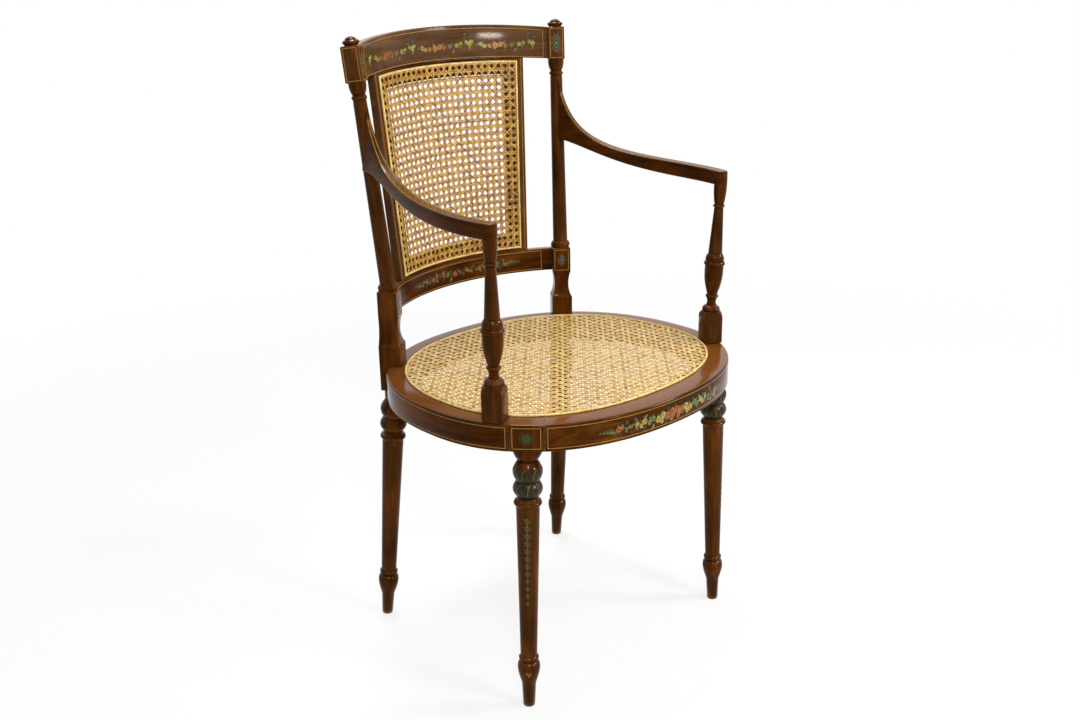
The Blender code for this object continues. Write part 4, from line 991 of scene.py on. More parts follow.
backRails()
seatRails()
for label, side in handed.items():
    frontLeg(label, side)
    rearPost(label, side)
    finial(label, side)
    armPostPiece(label, side)
    arm(label, side)
print("wood made")


# woven cane: pairs of strands up and across, and single strands both ways aslant

strand = dict(thick=0.00046, pairLift=0.00030, slantLift=0.00060, clear=0.1, least=0.3, search=0.25,
              halvings=20, probe=0.001, underTone=0.02)
seatWeave = dict(pitch=0.0114, width=0.0036, pairHalf=0.00196, level=0.0011, edgeInset=0.0014)
backWeave = dict(columns=24, rows=27, width=0.0021, pairHalf=0.00125, level=0.0011, edgeInset=0.0010,
                 firstPair=0.0028)     # from the cane's edge to the middle of its outermost pairs


def addStrand(shape, spots, surface, width, tone):
    # a flat cane strand through spots, each (u, v, lift)
    places = [surface(u, v, lift) for u, v, lift in spots]
    half, thick = width / 2, strand["thick"] / 2
    rings, grain, run = [], [], 0.0
    for i, (u, v, lift) in enumerate(spots):
        before, after = places[max(0, i - 1)], places[min(len(places) - 1, i + 1)]
        square = (surface(u, v, lift + strand["probe"]) - places[i]).normalized()
        across = square.cross(after - before).normalized()
        run += (places[i] - before).length
        rings.append([places[i] - across * half, places[i] + square * thick, places[i] + across * half,
                      places[i] - square * thick])
        grain += [(-half, tone, run), (0.0, tone, run), (half, tone, run),
                  (0.0, tone + strand["underTone"], run)]
    addPart(shape, *loft(rings), grain)


def lineSpan(line, first, last, inside):
    # the stretch of a straight line that lies inside an outline
    step = strand["search"]
    samples = [t for t in spread(first, last, round((last - first) / step)) if inside(*line(t))]
    if not samples:
        return None
    ends = []
    for held, free in ((samples[0], samples[0] - step), (samples[-1], samples[-1] + step)):
        for _ in range(strand["halvings"]):
            middle = (held + free) / 2
            held, free = (middle, free) if inside(*line(middle)) else (held, middle)
        ends.append(held)
    return ends if ends[1] - ends[0] > strand["least"] else None


def weave(shape, surface, inside, columns, rows, pairU, pairV, width):
    # crossings of the pairs lie at whole numbers of (u, v)
    lift, slant = strand["pairLift"], strand["slantLift"]
    number = 0

    def lay(line, first, last, knots):
        nonlocal number
        ends = lineSpan(line, first, last, inside)
        number += 1
        if ends:
            low, high = ends[0] + strand["clear"], ends[1] - strand["clear"]
            stops = [(ends[0], 0.0), *(knot for knot in knots if low < knot[0] < high), (ends[1], 0.0)]
            addStrand(shape, [(*line(t), level) for t, level in stops], surface, width, number * golden % 1.0)

    for i in range(columns[0], columns[1] + 1):
        for k in (-1, 1):
            knots = [(j + m * pairV, k * m * lift) if m else (j + 0.5, 0.0)
                     for j in range(rows[0] - 1, rows[1] + 1) for m in (-1, 1, 0)]
            lay(lambda t: (i + k * pairU, t), rows[0] - 1, rows[1] + 1, knots)
    for j in range(rows[0], rows[1] + 1):
        for m in (-1, 1):
            knots = [(i + k * pairU, -k * m * lift) if k else (i + 0.5, 0.0)
                     for i in range(columns[0] - 1, columns[1] + 1) for k in (-1, 1, 0)]
            lay(lambda t: (t, j + m * pairV), columns[0] - 1, columns[1] + 1, knots)
    for lean in (1, -1):
        corners = [rows[0] - lean * columns[1], rows[0] - lean * columns[0],
                   rows[1] - lean * columns[0], rows[1] - lean * columns[1]]
        for c in range(min(corners) - 1, max(corners) + 1):
            knots = [(half / 2, lean * slant * (1 if half % 2 == 0 else -1))
                     for half in range(2 * columns[0] - 2, 2 * columns[1] + 3)]
            lay(lambda t: (t, lean * t + c + 0.5), columns[0] - 1, columns[1] + 1, knots)


def seatSurface(u, v, lift):
    pitch = seatWeave["pitch"]
    return Vector((u * pitch, seat["middle"] + v * pitch, seat["top"] + seatWeave["level"] + lift))


def insideSeat(u, v):
    x, y = u * seatWeave["pitch"], v * seatWeave["pitch"]
    side, front, rear = (reach - seatWeave["edgeInset"] for reach in caneEdge[:3])
    reach = front if y < 0 else rear
    return (abs(x) / side) ** caneEdge[3] + (abs(y) / reach) ** caneEdge[3] < 1


def canedSeat():
    shape = newShape()
    pitch = seatWeave["pitch"]
    columns = (-int(caneEdge[0] / pitch), int(caneEdge[0] / pitch))
    rows = (-int(caneEdge[1] / pitch), int(caneEdge[2] / pitch))
    share = seatWeave["pairHalf"] / pitch
    weave(shape, seatSurface, insideSeat, columns, rows, share, share, seatWeave["width"])
    canePiece("seat_cane", shape, seatCane)


caneDepth = panel["setBack"] - panel["stileDepth"] / 2 - fit["gap"]
panelMiddle = bowRadius((lowerHead + crestFootHeight) / 2)
panelEdge = panel["stileBearing"] - (panel["stileWidth"] / 2 - panel["lap"]) / panelMiddle
panelMargin = panel["slipHeight"] - panel["slipLap"]


def panelPlace(bearing, share, offset):
    # a place in front of the cane's own surface, share of the way up the panel
    low, high = panelFoot(bearing) + panelMargin, panelHead(bearing) - panelMargin
    height = low + (high - low) * share
    return bowPlace(bearing * panelSpread(height), height, caneDepth - offset)


backWide = panelEdge * panelMiddle - backWeave["firstPair"]
panelTall = panelHead(0) - panelFoot(0) - 2 * panelMargin


def backSurface(u, v, lift):
    bearing = backWide / panelMiddle * (2 * u / backWeave["columns"] - 1)
    first = backWeave["firstPair"] / panelTall
    return panelPlace(bearing, first + (1 - 2 * first) * v / backWeave["rows"], backWeave["level"] + lift)


def canedBack():
    shape = newShape()
    columns, rows = backWeave["columns"], backWeave["rows"]
    wide = 2 * backWide / columns
    tall = (panelTall - 2 * backWeave["firstPair"]) / rows
    spill = backWeave["firstPair"] - backWeave["edgeInset"]

    def inside(u, v):
        return -spill / wide < u < columns + spill / wide and -spill / tall < v < rows + spill / tall

    weave(shape, backSurface, inside, (0, columns), (0, rows), backWeave["pairHalf"] / wide,
          backWeave["pairHalf"] / tall, backWeave["width"])
    canePiece("back_cane", shape, backCane)


binding = dict(width=0.0034, thick=0.0026, foot=0.0004, fullness=0.7, loopWidth=0.0022, loopRise=0.0004,
               loopFullness=0.8, ovalSteps=180, edgeSteps=48, spring=0.02,
               tone=0.5, grainStep=0.001)


def bindingSection(steps=5):
    # a half-round strip on a flat foot, as (across, rise)
    half = binding["width"] / 2
    return [(-half * cos(a), binding["thick"] * sin(a) ** binding["fullness"])
            for a in spread(binding["spring"], pi - binding["spring"], steps)]


def addBinding(shape, spots, surface, closed):
    # spots run along the edge as (u, v) in metres with a direction across it
    rings = []
    for (u, v), (acrossU, acrossV) in spots:
        rings.append([surface(u + acrossU * d, v + acrossV * d, rise) for d, rise in bindingSection()])
    grain, run = [], 0.0
    for i, ring in enumerate(rings):
        run += (ring[0] - rings[max(0, i - 1)][0]).length
        grain += [(k * binding["grainStep"], binding["tone"], run) for k in range(len(ring))]
    addPart(shape, *loft(rings, closed), grain)


def addLoop(shape, spot, surface, tone):
    # a short strand that ties the binding down
    (u, v), (acrossU, acrossV) = spot
    half = binding["width"] / 2 + binding["loopRise"]
    tall = binding["thick"] + binding["loopRise"]
    stops = []
    for a in spread(0.0, pi, 6):
        d = -half * cos(a)
        stops.append((u + acrossU * d, v + acrossV * d, tall * sin(a) ** binding["loopFullness"]))
    addStrand(shape, stops, surface, binding["loopWidth"], tone)


def seatBinding():
    shape = newShape()

    def surface(u, v, rise):
        return Vector((u, v, seat["top"] + binding["foot"] + rise))

    def spotAt(bearing):
        place = ovalPoint(bearing, caneEdge, binding["width"] / 2)
        outward = ovalOutward(bearing, caneEdge)
        return (place.x, place.y), (outward.x, outward.y)

    bearings = spread(0.0, 2 * pi, binding["ovalSteps"])[:-1]
    addBinding(shape, [spotAt(bearing) for bearing in bearings], surface, True)
    count = 2 * round(pi * (caneEdge[0] + caneEdge[2]) / (4 * seatWeave["pitch"]))
    for number in range(count):
        addLoop(shape, spotAt(2 * pi * number / count), surface, number * golden % 1.0)
    canePiece("seat_cane_binding", shape, bindingCane)


def backBinding():
    shape = newShape()
    half, steps = binding["width"] / 2, binding["edgeSteps"]

    def surface(u, v, rise):
        # u runs along the bow from its middle, v from the panel's foot to its head as a share
        return panelPlace(u / panelMiddle, v, binding["foot"] + rise)

    wide = panelEdge * panelMiddle
    upShare = half / panelTall
    for end in (-1, 1):
        side = [((end * (wide - half), share), (end, 0.0)) for share in spread(0.0, 1.0, steps)]
        row = upShare if end < 0 else 1 - upShare
        level = [((u, row), (0.0, -end / panelTall)) for u in spread(half - wide, wide - half, steps)]
        for spots, count in ((side, backWeave["rows"] // 2), (level, backWeave["columns"] // 2)):
            addBinding(shape, spots, surface, False)
            for number in range(1, count):
                addLoop(shape, spots[round(steps * number / count)], surface, number * golden % 1.0)
    canePiece("back_cane_binding", shape, bindingCane)


canedSeat()
canedBack()
seatBinding()
backBinding()
print("cane woven")


# painted ornament: thin films of paint on the wood, drawn in each face's own (u, v) in metres
# a brush is a shape that takes the paint and the surface that places (u, v) with a lift off the wood

palette = dict(gold=(0.36, 0.205, 0.038), coral=(0.265, 0.064, 0.016), deepCoral=(0.13, 0.026, 0.007),
               salmon=(0.34, 0.125, 0.034), yellow=(0.29, 0.215, 0.030), pale=(0.37, 0.305, 0.085),
               ochre=(0.22, 0.115, 0.016), green=(0.046, 0.060, 0.012), dark=(0.010, 0.013, 0.004),
               light=(0.125, 0.135, 0.034), teal=(0.042, 0.062, 0.034), mist=(0.13, 0.16, 0.086),
               mint=(0.22, 0.27, 0.16), jade=(0.030, 0.075, 0.050), olive=(0.084, 0.076, 0.022),
               moss=(0.046, 0.048, 0.014), apricot=(0.40, 0.185, 0.034))
film = dict(base=0.00012, layer=0.00005, sunk=0.0002, lineStep=0.004, narrow=0.0006, tip=0.06, leafPeak=0.8)


def addRows(brush, rows, colour, layer=0):
    # a closed film of paint over rows of spots
    shape, surface = brush
    lift = film["base"] + film["layer"] * layer
    rings = [[surface(*spot, lift) for spot in row] + [surface(*spot, -film["sunk"]) for spot in row[::-1]]
             for row in rows]
    points, faces = loft(rings)
    addPart(shape, points, faces, [tuple(point) for point in points])
    shape["paint"] += [(*palette[colour], 1.0)] * len(points)


def addStroke(brush, spots, halves, colour, layer=0):
    # a brush stroke along spots, with half its width at each
    shares = (-1, 0, 1) if max(halves) > film["narrow"] else (-1, 1)
    rows = []
    for i, (u, v) in enumerate(spots):
        before, after = spots[max(0, i - 1)], spots[min(len(spots) - 1, i + 1)]
        du, dv = after[0] - before[0], after[1] - before[1]
        size = hypot(du, dv)
        rows.append([(u - dv / size * halves[i] * k, v + du / size * halves[i] * k) for k in shares])
    addRows(brush, rows, colour, layer)


def addLine(brush, spots, width, colour="gold"):
    addStroke(brush, spots, [width / 2] * len(spots), colour)


def addLeaf(brush, u, v, turn, length, colour, layer=0, wide=0.42):
    # a pointed leaf that grows from (u, v)
    shares = spread(0.0, 1.0, 6)
    spots = [(u + length * s * cos(turn), v + length * s * sin(turn)) for s in shares]
    halves = [length * wide / 2 * max(film["tip"], sin(pi * s ** film["leafPeak"])) for s in shares]
    addStroke(brush, spots, halves, colour, layer)


def addDot(brush, u, v, radius, colour, layer=0, tall=1.0):
    turns = spread(film["tip"], pi - film["tip"], 6)
    spots = [(u, v - radius * tall * cos(a)) for a in turns]
    addStroke(brush, spots, [radius * sin(a) for a in turns], colour, layer)


def straightSpots(first, last):
    steps = max(1, round(hypot(last[0] - first[0], last[1] - first[1]) / film["lineStep"]))
    return list(zip(spread(first[0], last[0], steps), spread(first[1], last[1], steps)))


def addFrameLine(brush, left, right, low, high, width):
    # a rectangle of stringing, low and high may follow the piece's edges
    steps = max(2, round((right - left) / film["lineStep"]))
    for edge in (low, high):
        addLine(brush, [(u, edge(u)) for u in spread(left, right, steps)], width)
    for u in (left + width / 2, right - width / 2):
        addLine(brush, straightSpots((u, low(u)), (u, high(u))), width)


# flowers and leaves; two tones of petal and an eye
flowers = dict(rose=("coral", "salmon", "deepCoral"), yellow=("yellow", "pale", "ochre"),
               pale=("pale", "yellow", "ochre"), mist=("mist", "light", "teal"),
               faint=("ochre", "deepCoral", "deepCoral"), amber=("salmon", "apricot", "coral"))


# shares of a flower's radius: its ground, the ring that its petals stand on, one petal and its heart
bloom = dict(ground=0.85, ring=0.55, petal=0.47, heart=0.26, petals=5, twist=400)
# steps that never repeat, so that leaves lie evenly but not in rows
scatter = dict(across=0.618, turn=0.7549, up=0.4142, length=0.41)
foliage = dict(least=0.6, more=0.7, tones=("green", "teal", "light", "green", "mist"))
spray = dict(wide=0.7, taper=0.4, leaf=0.26, tones=("teal", "green", "mist", "teal"))
# shares of a garland's tip: where its leaves grow, their length at first, how they shorten and their width
tipSize = dict(places=(0.0, 0.25, 0.5, 0.75), leaf=0.34, first=1.1, shorten=0.7, wide=0.34)
tipLeaves = ((-0.5, "green"), (0.0, "teal"), (0.5, "light"))


def addFlower(brush, u, v, radius, kind):
    first, second, eye = flowers[kind]
    addDot(brush, u, v, radius * bloom["ground"], eye, 2)
    reach = radius * bloom["ring"]
    for k in range(bloom["petals"]):
        turn = 2 * pi * k / bloom["petals"] + bloom["twist"] * u
        addDot(brush, u + reach * cos(turn), v + reach * sin(turn), radius * bloom["petal"],
               second if k in (1, 3) else first, 3 + k % 2)
    addDot(brush, u, v, radius * bloom["heart"], eye, 5)


def scattered(k, key):
    return k * scatter[key] % 1.0


def addFoliage(brush, first, last, level, deep, count, length):
    # many small leaves behind the flowers
    for k in range(count):
        u = first + (last - first) * (k + 0.5) / count
        v = level(u) + deep * (2 * scattered(k, "across") - 1)
        long = length * (foliage["least"] + foliage["more"] * scattered(k, "length"))
        tone = foliage["tones"][k % len(foliage["tones"])]
        addLeaf(brush, u, v, 2 * pi * scattered(k, "turn"), long, tone)


def addSpray(brush, u, v, reach, count):
    # a loose tuft of small blue-green leaves
    for k in range(count):
        across, up = 2 * scattered(k, "across") - 1, scattered(k, "up")
        spot = (u + reach * spray["wide"] * across, v + reach * up * (1 - spray["taper"] * abs(across)))
        tone = spray["tones"][k % len(spray["tones"])]
        addLeaf(brush, *spot, 2 * pi * scattered(k, "turn"), reach * spray["leaf"], tone, 1)


def addTip(brush, u, v, towards, reach):
    # the thin end of a garland
    turn = 0.0 if towards > 0 else pi
    for share in tipSize["places"]:
        size = reach * tipSize["leaf"] * (tipSize["first"] - share * tipSize["shorten"])
        for bend, colour in tipLeaves:
            addLeaf(brush, u + towards * reach * share, v, turn + bend, size, colour, 1, tipSize["wide"])


# shares of a rosette's size: ring, eye and heart, dots in the eye, rays about the ring and dots at their ends
rosette = dict(rays=20, ring=0.52, eye=0.43, heart=0.13, dotReach=0.28, dot=0.05, rayFoot=0.60, shortRay=0.84,
               longRay=0.90, rayWidth=0.036, endDot=0.055)


def addRosette(brush, u, v, wide, tall):
    # an oval eye inside a thin pale ring, with fine rays and dots about it
    def at(share, k):
        turn = 2 * pi * k / rosette["rays"]
        return (u + wide * share * cos(turn), v + tall * share * sin(turn))

    for layer, (key, colour) in enumerate((("ring", "mist"), ("eye", "jade"), ("heart", "mint"))):
        addDot(brush, u, v, wide * rosette[key], colour, layer, tall / wide)
    for k in range(rosette["rays"]):
        long = k % 2 == 0
        colour = "mint" if long else "mist"
        addDot(brush, *at(rosette["dotReach"], k), wide * rosette["dot"], "teal", 2)
        ends = [at(rosette["rayFoot"], k), at(rosette["longRay" if long else "shortRay"], k)]
        addStroke(brush, ends, [wide * rosette["rayWidth"]] * 2, colour)
        if long:
            addDot(brush, *at(1.0, k), wide * rosette["endDot"], "mint")


# rings of dots from the rim inwards: share of the radius, size of a dot, colour and number
wheelRings = ((1.0, 0.08, "olive", 14), (0.70, 0.12, "moss", 14), (0.44, 0.15, "green", 14),
              (0.16, 0.09, "light", 3))
wheelEye = 0.34


def addWheel(brush, u, v, radius):
    # a round flower of green dots about a dark eye
    addDot(brush, u, v, radius * wheelEye, "dark", -1)
    for share, size, colour, count in wheelRings:
        for k in range(count):
            turn = 2 * pi * (k + share) / count
            spot = (u + radius * share * cos(turn), v + radius * share * sin(turn))
            addDot(brush, *spot, radius * size, colour)


stringing = dict(width=0.0009, crestLow=0.0020, crestHigh=0.0052, stile=0.9, arm=1.1)


def crestBearing(u):
    return u / bowRadius(crestFootHeight + rails["crestHeight"] / 2)


def crestSurface(u, v, lift):
    bearing = crestBearing(u)
    return bowPlace(bearing, crestFoot(bearing) + v, -rails["crestThick"] / 2 - lift)


def lowerSurface(u, v, lift):
    bearing = u / bowRadius((lowerFoot + lowerHead) / 2)
    return bowPlace(bearing, lowerFoot + v, -rails["lowerThick"] / 2 - lift)


# the two inner peaks slip to the right by the painter's hand, and drops hang under each peak
# roses in the first share of the middle and right swags are warmer
crestPaint = dict(peak=0.1143, slip=0.0052, peakHeight=0.0228, sag=0.0045, sprayFoot=0.0272, spray=0.0148,
                  sprayLeaves=26, flower=0.0040, bud=0.0018, endLine=0.189, leaf=0.0062, leaves=46,
                  deep=0.0045, tip=0.012, tipGap=0.004, tipDrop=0.002, warmTo=0.55)
# in buds: fall below the peak and radius
crestDrops = ((3.2, 0.8), (4.6, 0.55))
# along one swag: share of the way, rise, kind and radius
crestSwag = ((0.04, 0.0034, "yellow", 0.0030), (0.19, 0.0010, "yellow", 0.0036),
             (0.25, -0.0012, "pale", 0.0032), (0.33, -0.0010, "rose", 0.0033), (0.42, 0.0006, "rose", 0.0050),
             (0.50, 0.0022, "rose", 0.0045), (0.58, 0.0000, "rose", 0.0036), (0.68, 0.0008, "mist", 0.0036),
             (0.79, 0.0010, "yellow", 0.0036), (0.86, 0.0024, "pale", 0.0029),
             (0.95, 0.0030, "yellow", 0.0030))


def crestGarland():
    shape, size = newShape(), crestPaint
    brush = (shape, crestSurface)
    peaks = [size["peak"] * (k - 1.5) + (size["slip"] if k in (1, 2) else 0.0) for k in range(4)]
    high = size["peakHeight"]

    def topLine(u):
        bearing = crestBearing(u)
        return crestTop(bearing) - crestFoot(bearing) - stringing["crestHigh"]

    def vine(u):
        first, last = next(ends for ends in zip(peaks, peaks[1:]) if u <= ends[1])
        return high - size["sag"] * sin(pi * (u - first) / (last - first))

    addFrameLine(brush, -size["endLine"], size["endLine"], lambda u: stringing["crestLow"], topLine,
                 stringing["width"])
    for u in peaks:
        addSpray(brush, u, size["sprayFoot"], size["spray"], size["sprayLeaves"])
        addFlower(brush, u, high, size["flower"], "yellow")
        for fall, radius in crestDrops:
            addDot(brush, u, high - size["bud"] * fall, size["bud"] * radius, "yellow", 2)
    for first, last in zip(peaks, peaks[1:]):
        addFoliage(brush, first, last, vine, size["deep"], size["leaves"], size["leaf"])
        for share, rise, kind, radius in crestSwag:
            u = first + (last - first) * share
            warmer = kind == "rose" and first > peaks[0] and share < size["warmTo"]
            addFlower(brush, u, vine(u) + rise, radius, "amber" if warmer else kind)
    for end in (-1, 1):
        addTip(brush, end * (peaks[-1] + size["tipGap"]), high - size["tipDrop"], end, size["tip"])
    paintPiece("crestGarland", shape)


lowerPaint = dict(middle=0.008, spacing=0.0250, roses=8, height=0.0180, rose=0.0044, roseSwing=0.0014,
                  thinning=0.35, bud=0.55, budGap=0.0085, budSwing=0.0018, leaf=0.0068, leaves=88,
                  deep=0.0048, past=0.006, tip=0.022, lineInset=0.0030, endLine=0.160)


def lowerGarland():
    # a row of roses that swings about its middle height, with a paler bud after each
    shape, size = newShape(), lowerPaint
    brush = (shape, lowerSurface)
    low, high = size["lineInset"], rails["lowerHeight"] - size["lineInset"]
    addFrameLine(brush, -size["endLine"], size["endLine"], lambda u: low, lambda u: high,
                 stringing["width"])
    middle, level, past = size["middle"], size["height"], size["past"]
    half = size["spacing"] * (size["roses"] - 1) / 2
    first, last = middle - half, middle + half
    addFoliage(brush, first - past, last + past, lambda u: level, size["deep"], size["leaves"],
               size["leaf"])
    for k, u in enumerate(spread(first, last, size["roses"] - 1)):
        fullness = 1 - size["thinning"] * abs(u - middle) / half
        swing = (-1) ** k
        addFlower(brush, u, level + size["roseSwing"] * swing, size["rose"] * fullness, "rose")
        addFlower(brush, u + size["budGap"], level - size["budSwing"] * swing,
                  size["rose"] * size["bud"], "mist")
    for end in (-1, 1):
        addTip(brush, middle + end * (half + past), level, end, size["tip"])
    paintPiece("lowerRailGarland", shape)


railSteps = 1440
railTable = spread(-pi, pi, railSteps)
railRuns = [0.0]
for first, second in zip(railTable, railTable[1:]):
    railRuns.append(railRuns[-1] + (ovalPoint(second, railOutside) - ovalPoint(first, railOutside)).length)
railHalfway = railRuns[railSteps // 2]


def bearingAt(run):
    # the bearing at a length round the rail's outer face, from the front
    target = run + railHalfway
    i = min(len(railRuns) - 2, max(0, bisect_right(railRuns, target) - 1))
    share = (target - railRuns[i]) / (railRuns[i + 1] - railRuns[i])
    return railTable[i] + (railTable[i + 1] - railTable[i]) * share


def runAt(bearing):
    i = min(len(railTable) - 2, int((bearing + pi) / (railTable[1] - railTable[0])))
    share = (bearing - railTable[i]) / (railTable[i + 1] - railTable[i])
    return railRuns[i] + (railRuns[i + 1] - railRuns[i]) * share - railHalfway


def railSurface(u, v, lift):
    bearing = bearingAt(u)
    return ovalPoint(bearing, railOutside) + ovalOutward(bearing) * lift + upward * (railFoot + v)


railPaint = dict(lineInset=0.0045, legGap=0.0048, blockInset=0.0036, height=0.0175, leaf=0.0082, leaves=110,
                 deep=0.0062, leafEnd=0.110, tip=0.024, wheel=0.0098, postGap=0.020)
# from the middle of the front rail outwards: run, rise, kind and radius
railFlowers = ((0.0050, 0.0020, "rose", 0.0058), (0.0135, -0.0010, "rose", 0.0056),
               (0.0070, -0.0064, "rose", 0.0046), (0.0240, 0.0018, "yellow", 0.0054),
               (0.0335, -0.0022, "pale", 0.0050), (0.0270, -0.0062, "yellow", 0.0040),
               (0.0435, 0.0018, "mist", 0.0042), (0.0500, -0.0022, "mist", 0.0040),
               (0.0590, 0.0014, "yellow", 0.0046), (0.0650, -0.0034, "pale", 0.0036),
               (0.0720, 0.0012, "yellow", 0.0034), (0.0830, -0.0004, "mist", 0.0030),
               (0.1020, 0.0000, "rose", 0.0050))


def seatRailPaint():
    shape, size = newShape(), railPaint
    brush = (shape, railSurface)
    low, high = size["lineInset"], seat["depth"] - size["lineInset"]
    level, width = size["height"], stringing["width"]
    legRun, half = runAt(leg["frontBearing"]), leg["blockWidth"] / 2
    postRun = runAt(back["postSeatBearing"]) - size["postGap"]
    inner, outer = legRun - half - size["legGap"], legRun + half + size["legGap"]
    near = half - size["blockInset"]
    for left, right in ((-inner, inner), (outer, postRun), (-postRun, -outer), (legRun - near, legRun + near),
                        (-legRun - near, near - legRun)):
        addFrameLine(brush, left, right, lambda u: low, lambda u: high, width)
    addFoliage(brush, -size["leafEnd"], size["leafEnd"], lambda u: level, size["deep"],
               size["leaves"], size["leaf"])
    for side in handed.values():
        addWheel(brush, side * legRun, seat["depth"] / 2, size["wheel"])
        for run, rise, kind, radius in railFlowers:
            addFlower(brush, side * run, level + rise, radius, kind)
        addTip(brush, side * size["leafEnd"], level, side, size["tip"])
    paintPiece("seatRailGarland", shape)


squareLine = dict(stile=0.0042, stileEnd=0.002)     # of the lines on the cane panel's frame
cubePaint = dict(inset=0.0026, wide=0.0090, tall=0.0160)
blockPaint = dict(inset=0.0030, wide=0.0070, tall=0.0092)


def squarePaint(label, side):
    # stringing and a rosette on the front of a post's squares, and stringing on the cube's outer face
    shape = newShape()
    width = stringing["width"]
    cube = (upperFrame(side), back["cubeWidth"] / 2, upperLength - back["cubeHeight"], upperLength, cubePaint)
    block = (blockFrame(side), back["blockWidth"] / 2, blockFoot, blockHead, blockPaint)
    for place, half, foot, head, size in (cube, block):
        near = half - size["inset"]
        low, high = foot + size["inset"], head - size["inset"]

        def front(u, v, lift):
            return place @ Vector((u, -half - lift, v))

        def outer(u, v, lift):
            return place @ Vector((side * (half + lift), u, v))

        for surface in (front, outer) if size is cubePaint else (front,):
            addFrameLine((shape, surface), -near, near, lambda u: low, lambda u: high, width)
        addRosette((shape, front), 0.0, (foot + head) / 2, size["wide"], size["tall"])
    stile, length = stileFrame(side)

    def stileFront(u, v, lift):
        return stile @ Vector((u, -panel["stileDepth"] / 2 - lift, v))

    lineAt, end = side * (panel["stileWidth"] / 2 - squareLine["stile"]), squareLine["stileEnd"]
    spots = straightSpots((lineAt, end), (lineAt, length - end))
    addLine((shape, stileFront), spots, width * stringing["stile"])
    paintPiece("postPaint" + label.title(), shape)


legPaint = dict(lobes=8, stroke=0.012, huskTop=0.017, husks=12, huskStep=0.0114, husk=0.0108, shrink=0.035,
                side=0.25, leafWide=0.36, dotRise=0.1, dot=0.11, roseHeight=0.55, rose=0.0042,
                roseLeaf=0.0060, roseBend=0.9, groundSteps=(10, 18), lobeSteps=(6, 12), lobeEnd=0.985,
                lobePower=4.5, lobeRound=0.6)
# on each bulb: foot, how far the lobes reach up it, their turn in lobes and how far the plain ground reaches
upperBand = dict(foot=0.0006, reach=0.66, short=0.0, turn=0.0, ground=0.80)
lowerBand = dict(foot=0.0004, reach=0.98, short=0.0006, turn=0.5, ground=1.0)
# strokes on a lobe: place across it, first and last of its rows, colour
lobeStrokes = ((-0.86, 3, 13, "gold"), (-0.40, 2, 8, "moss"), (0.05, 4, 10, "olive"), (0.50, 2, 7, "moss"))
# leaves of a husk: bend from straight down, colour
huskLeaves = ((0.0, "olive"), (-0.8, "moss"), (0.8, "moss"), (-1.6, "olive"), (1.6, "moss"))


def addBulbLeaves(brush, low, high, band):
    # the brush's surface takes an angle and a height
    wide = 2 * pi / legPaint["lobes"]
    foot, tall = low + band["foot"], (high - low) * band["reach"] - band["short"]
    (wideSteps, tallSteps), (lobeWide, lobeTall) = legPaint["groundSteps"], legPaint["lobeSteps"]
    power, rounding = legPaint["lobePower"], legPaint["lobeRound"]
    for k in range(legPaint["lobes"]):
        centre = wide * (k + band["turn"])
        ground = [[(centre + wide * across / 2, foot + tall * share) for across in spread(0, 2, wideSteps)]
                  for share in spread(0.0, band["ground"], tallSteps)]
        addRows(brush, ground, "dark", -1)
        lobe = [(foot + tall * share, wide * 0.5 * (1 - share ** power) ** rounding)
                for share in spread(0.0, legPaint["lobeEnd"], lobeTall)]
        rows = [[(centre + across * half, v) for across in spread(-1, 1, lobeWide)] for v, half in lobe]
        addRows(brush, rows, "dark")
        for slide, first, last, colour in lobeStrokes:
            rows = [[(centre + slide * half + edge * legPaint["stroke"], v) for edge in (-1, 1)]
                    for v, half in lobe[first:last]]
            addRows(brush, rows, colour, 1)


def legOrnament(label, side):
    # leaf bands on the bulbs, a chain of husks down the shaft and a small rose on the foot
    shape, size = newShape(), legPaint
    matrix, length = frontLegAxes(side)
    profile = legProfile(length, leg["neckFlare"])
    facing = matrix.to_3x3().inverted() @ ovalOutward(side * leg["frontBearing"])
    ahead = atan2(facing.y, facing.x)

    def turnedSurface(u, v, lift):
        # u is an angle here
        radius = profileRadius(profile, v) + lift
        return matrix @ Vector((radius * cos(ahead + u), radius * sin(ahead + u), v))

    def shaftSurface(u, v, lift):
        return turnedSurface(u / profileRadius(profile, v), v, lift)

    neck = length - leg["neck"]
    middle = neck - leg["upperBulb"]
    lower = middle - leg["lowerBulb"]
    addBulbLeaves((shape, turnedSurface), middle, neck, upperBand)
    addBulbLeaves((shape, turnedSurface), lower, middle, lowerBand)
    huskHead = lower - leg["cove"] - leg["ring"] - size["huskTop"]
    shaft = (shape, shaftSurface)
    for k in range(size["husks"]):
        v = huskHead - size["huskStep"] * k
        husk = size["husk"] * (1 - size["shrink"] * k)
        for bend, colour in huskLeaves:
            long = husk * (1 - size["side"] * abs(bend))
            addLeaf(shaft, 0.0, v, bend - pi / 2, long, colour, 1, size["leafWide"])
        addDot(shaft, 0.0, v + husk * size["dotRise"], husk * size["dot"], "ochre", 2)
    rose = leg["foot"] + leg["footBulb"] * size["roseHeight"]
    for bend in (-size["roseBend"], size["roseBend"]):
        addLeaf(shaft, 0.0, rose, pi / 2 + bend, size["roseLeaf"], "green")
    addFlower(shaft, 0.0, rose, size["rose"], "faint")
    paintPiece("legOrnament" + label.title(), shape)


armPaint = dict(start=0.0095, end=0.0085, bare=0.060, lineInset=0.0005, lineSteps=110, leafStep=0.0084,
                leaf=0.0066, leafWide=0.34, leafEnd=0.012, slope=0.0005, linePower=1.3)
# leaves of the trail: bend from the arm's run, colour
armLeaves = ((0.6, "green"), (-0.6, "light"), (0.0, "teal"))


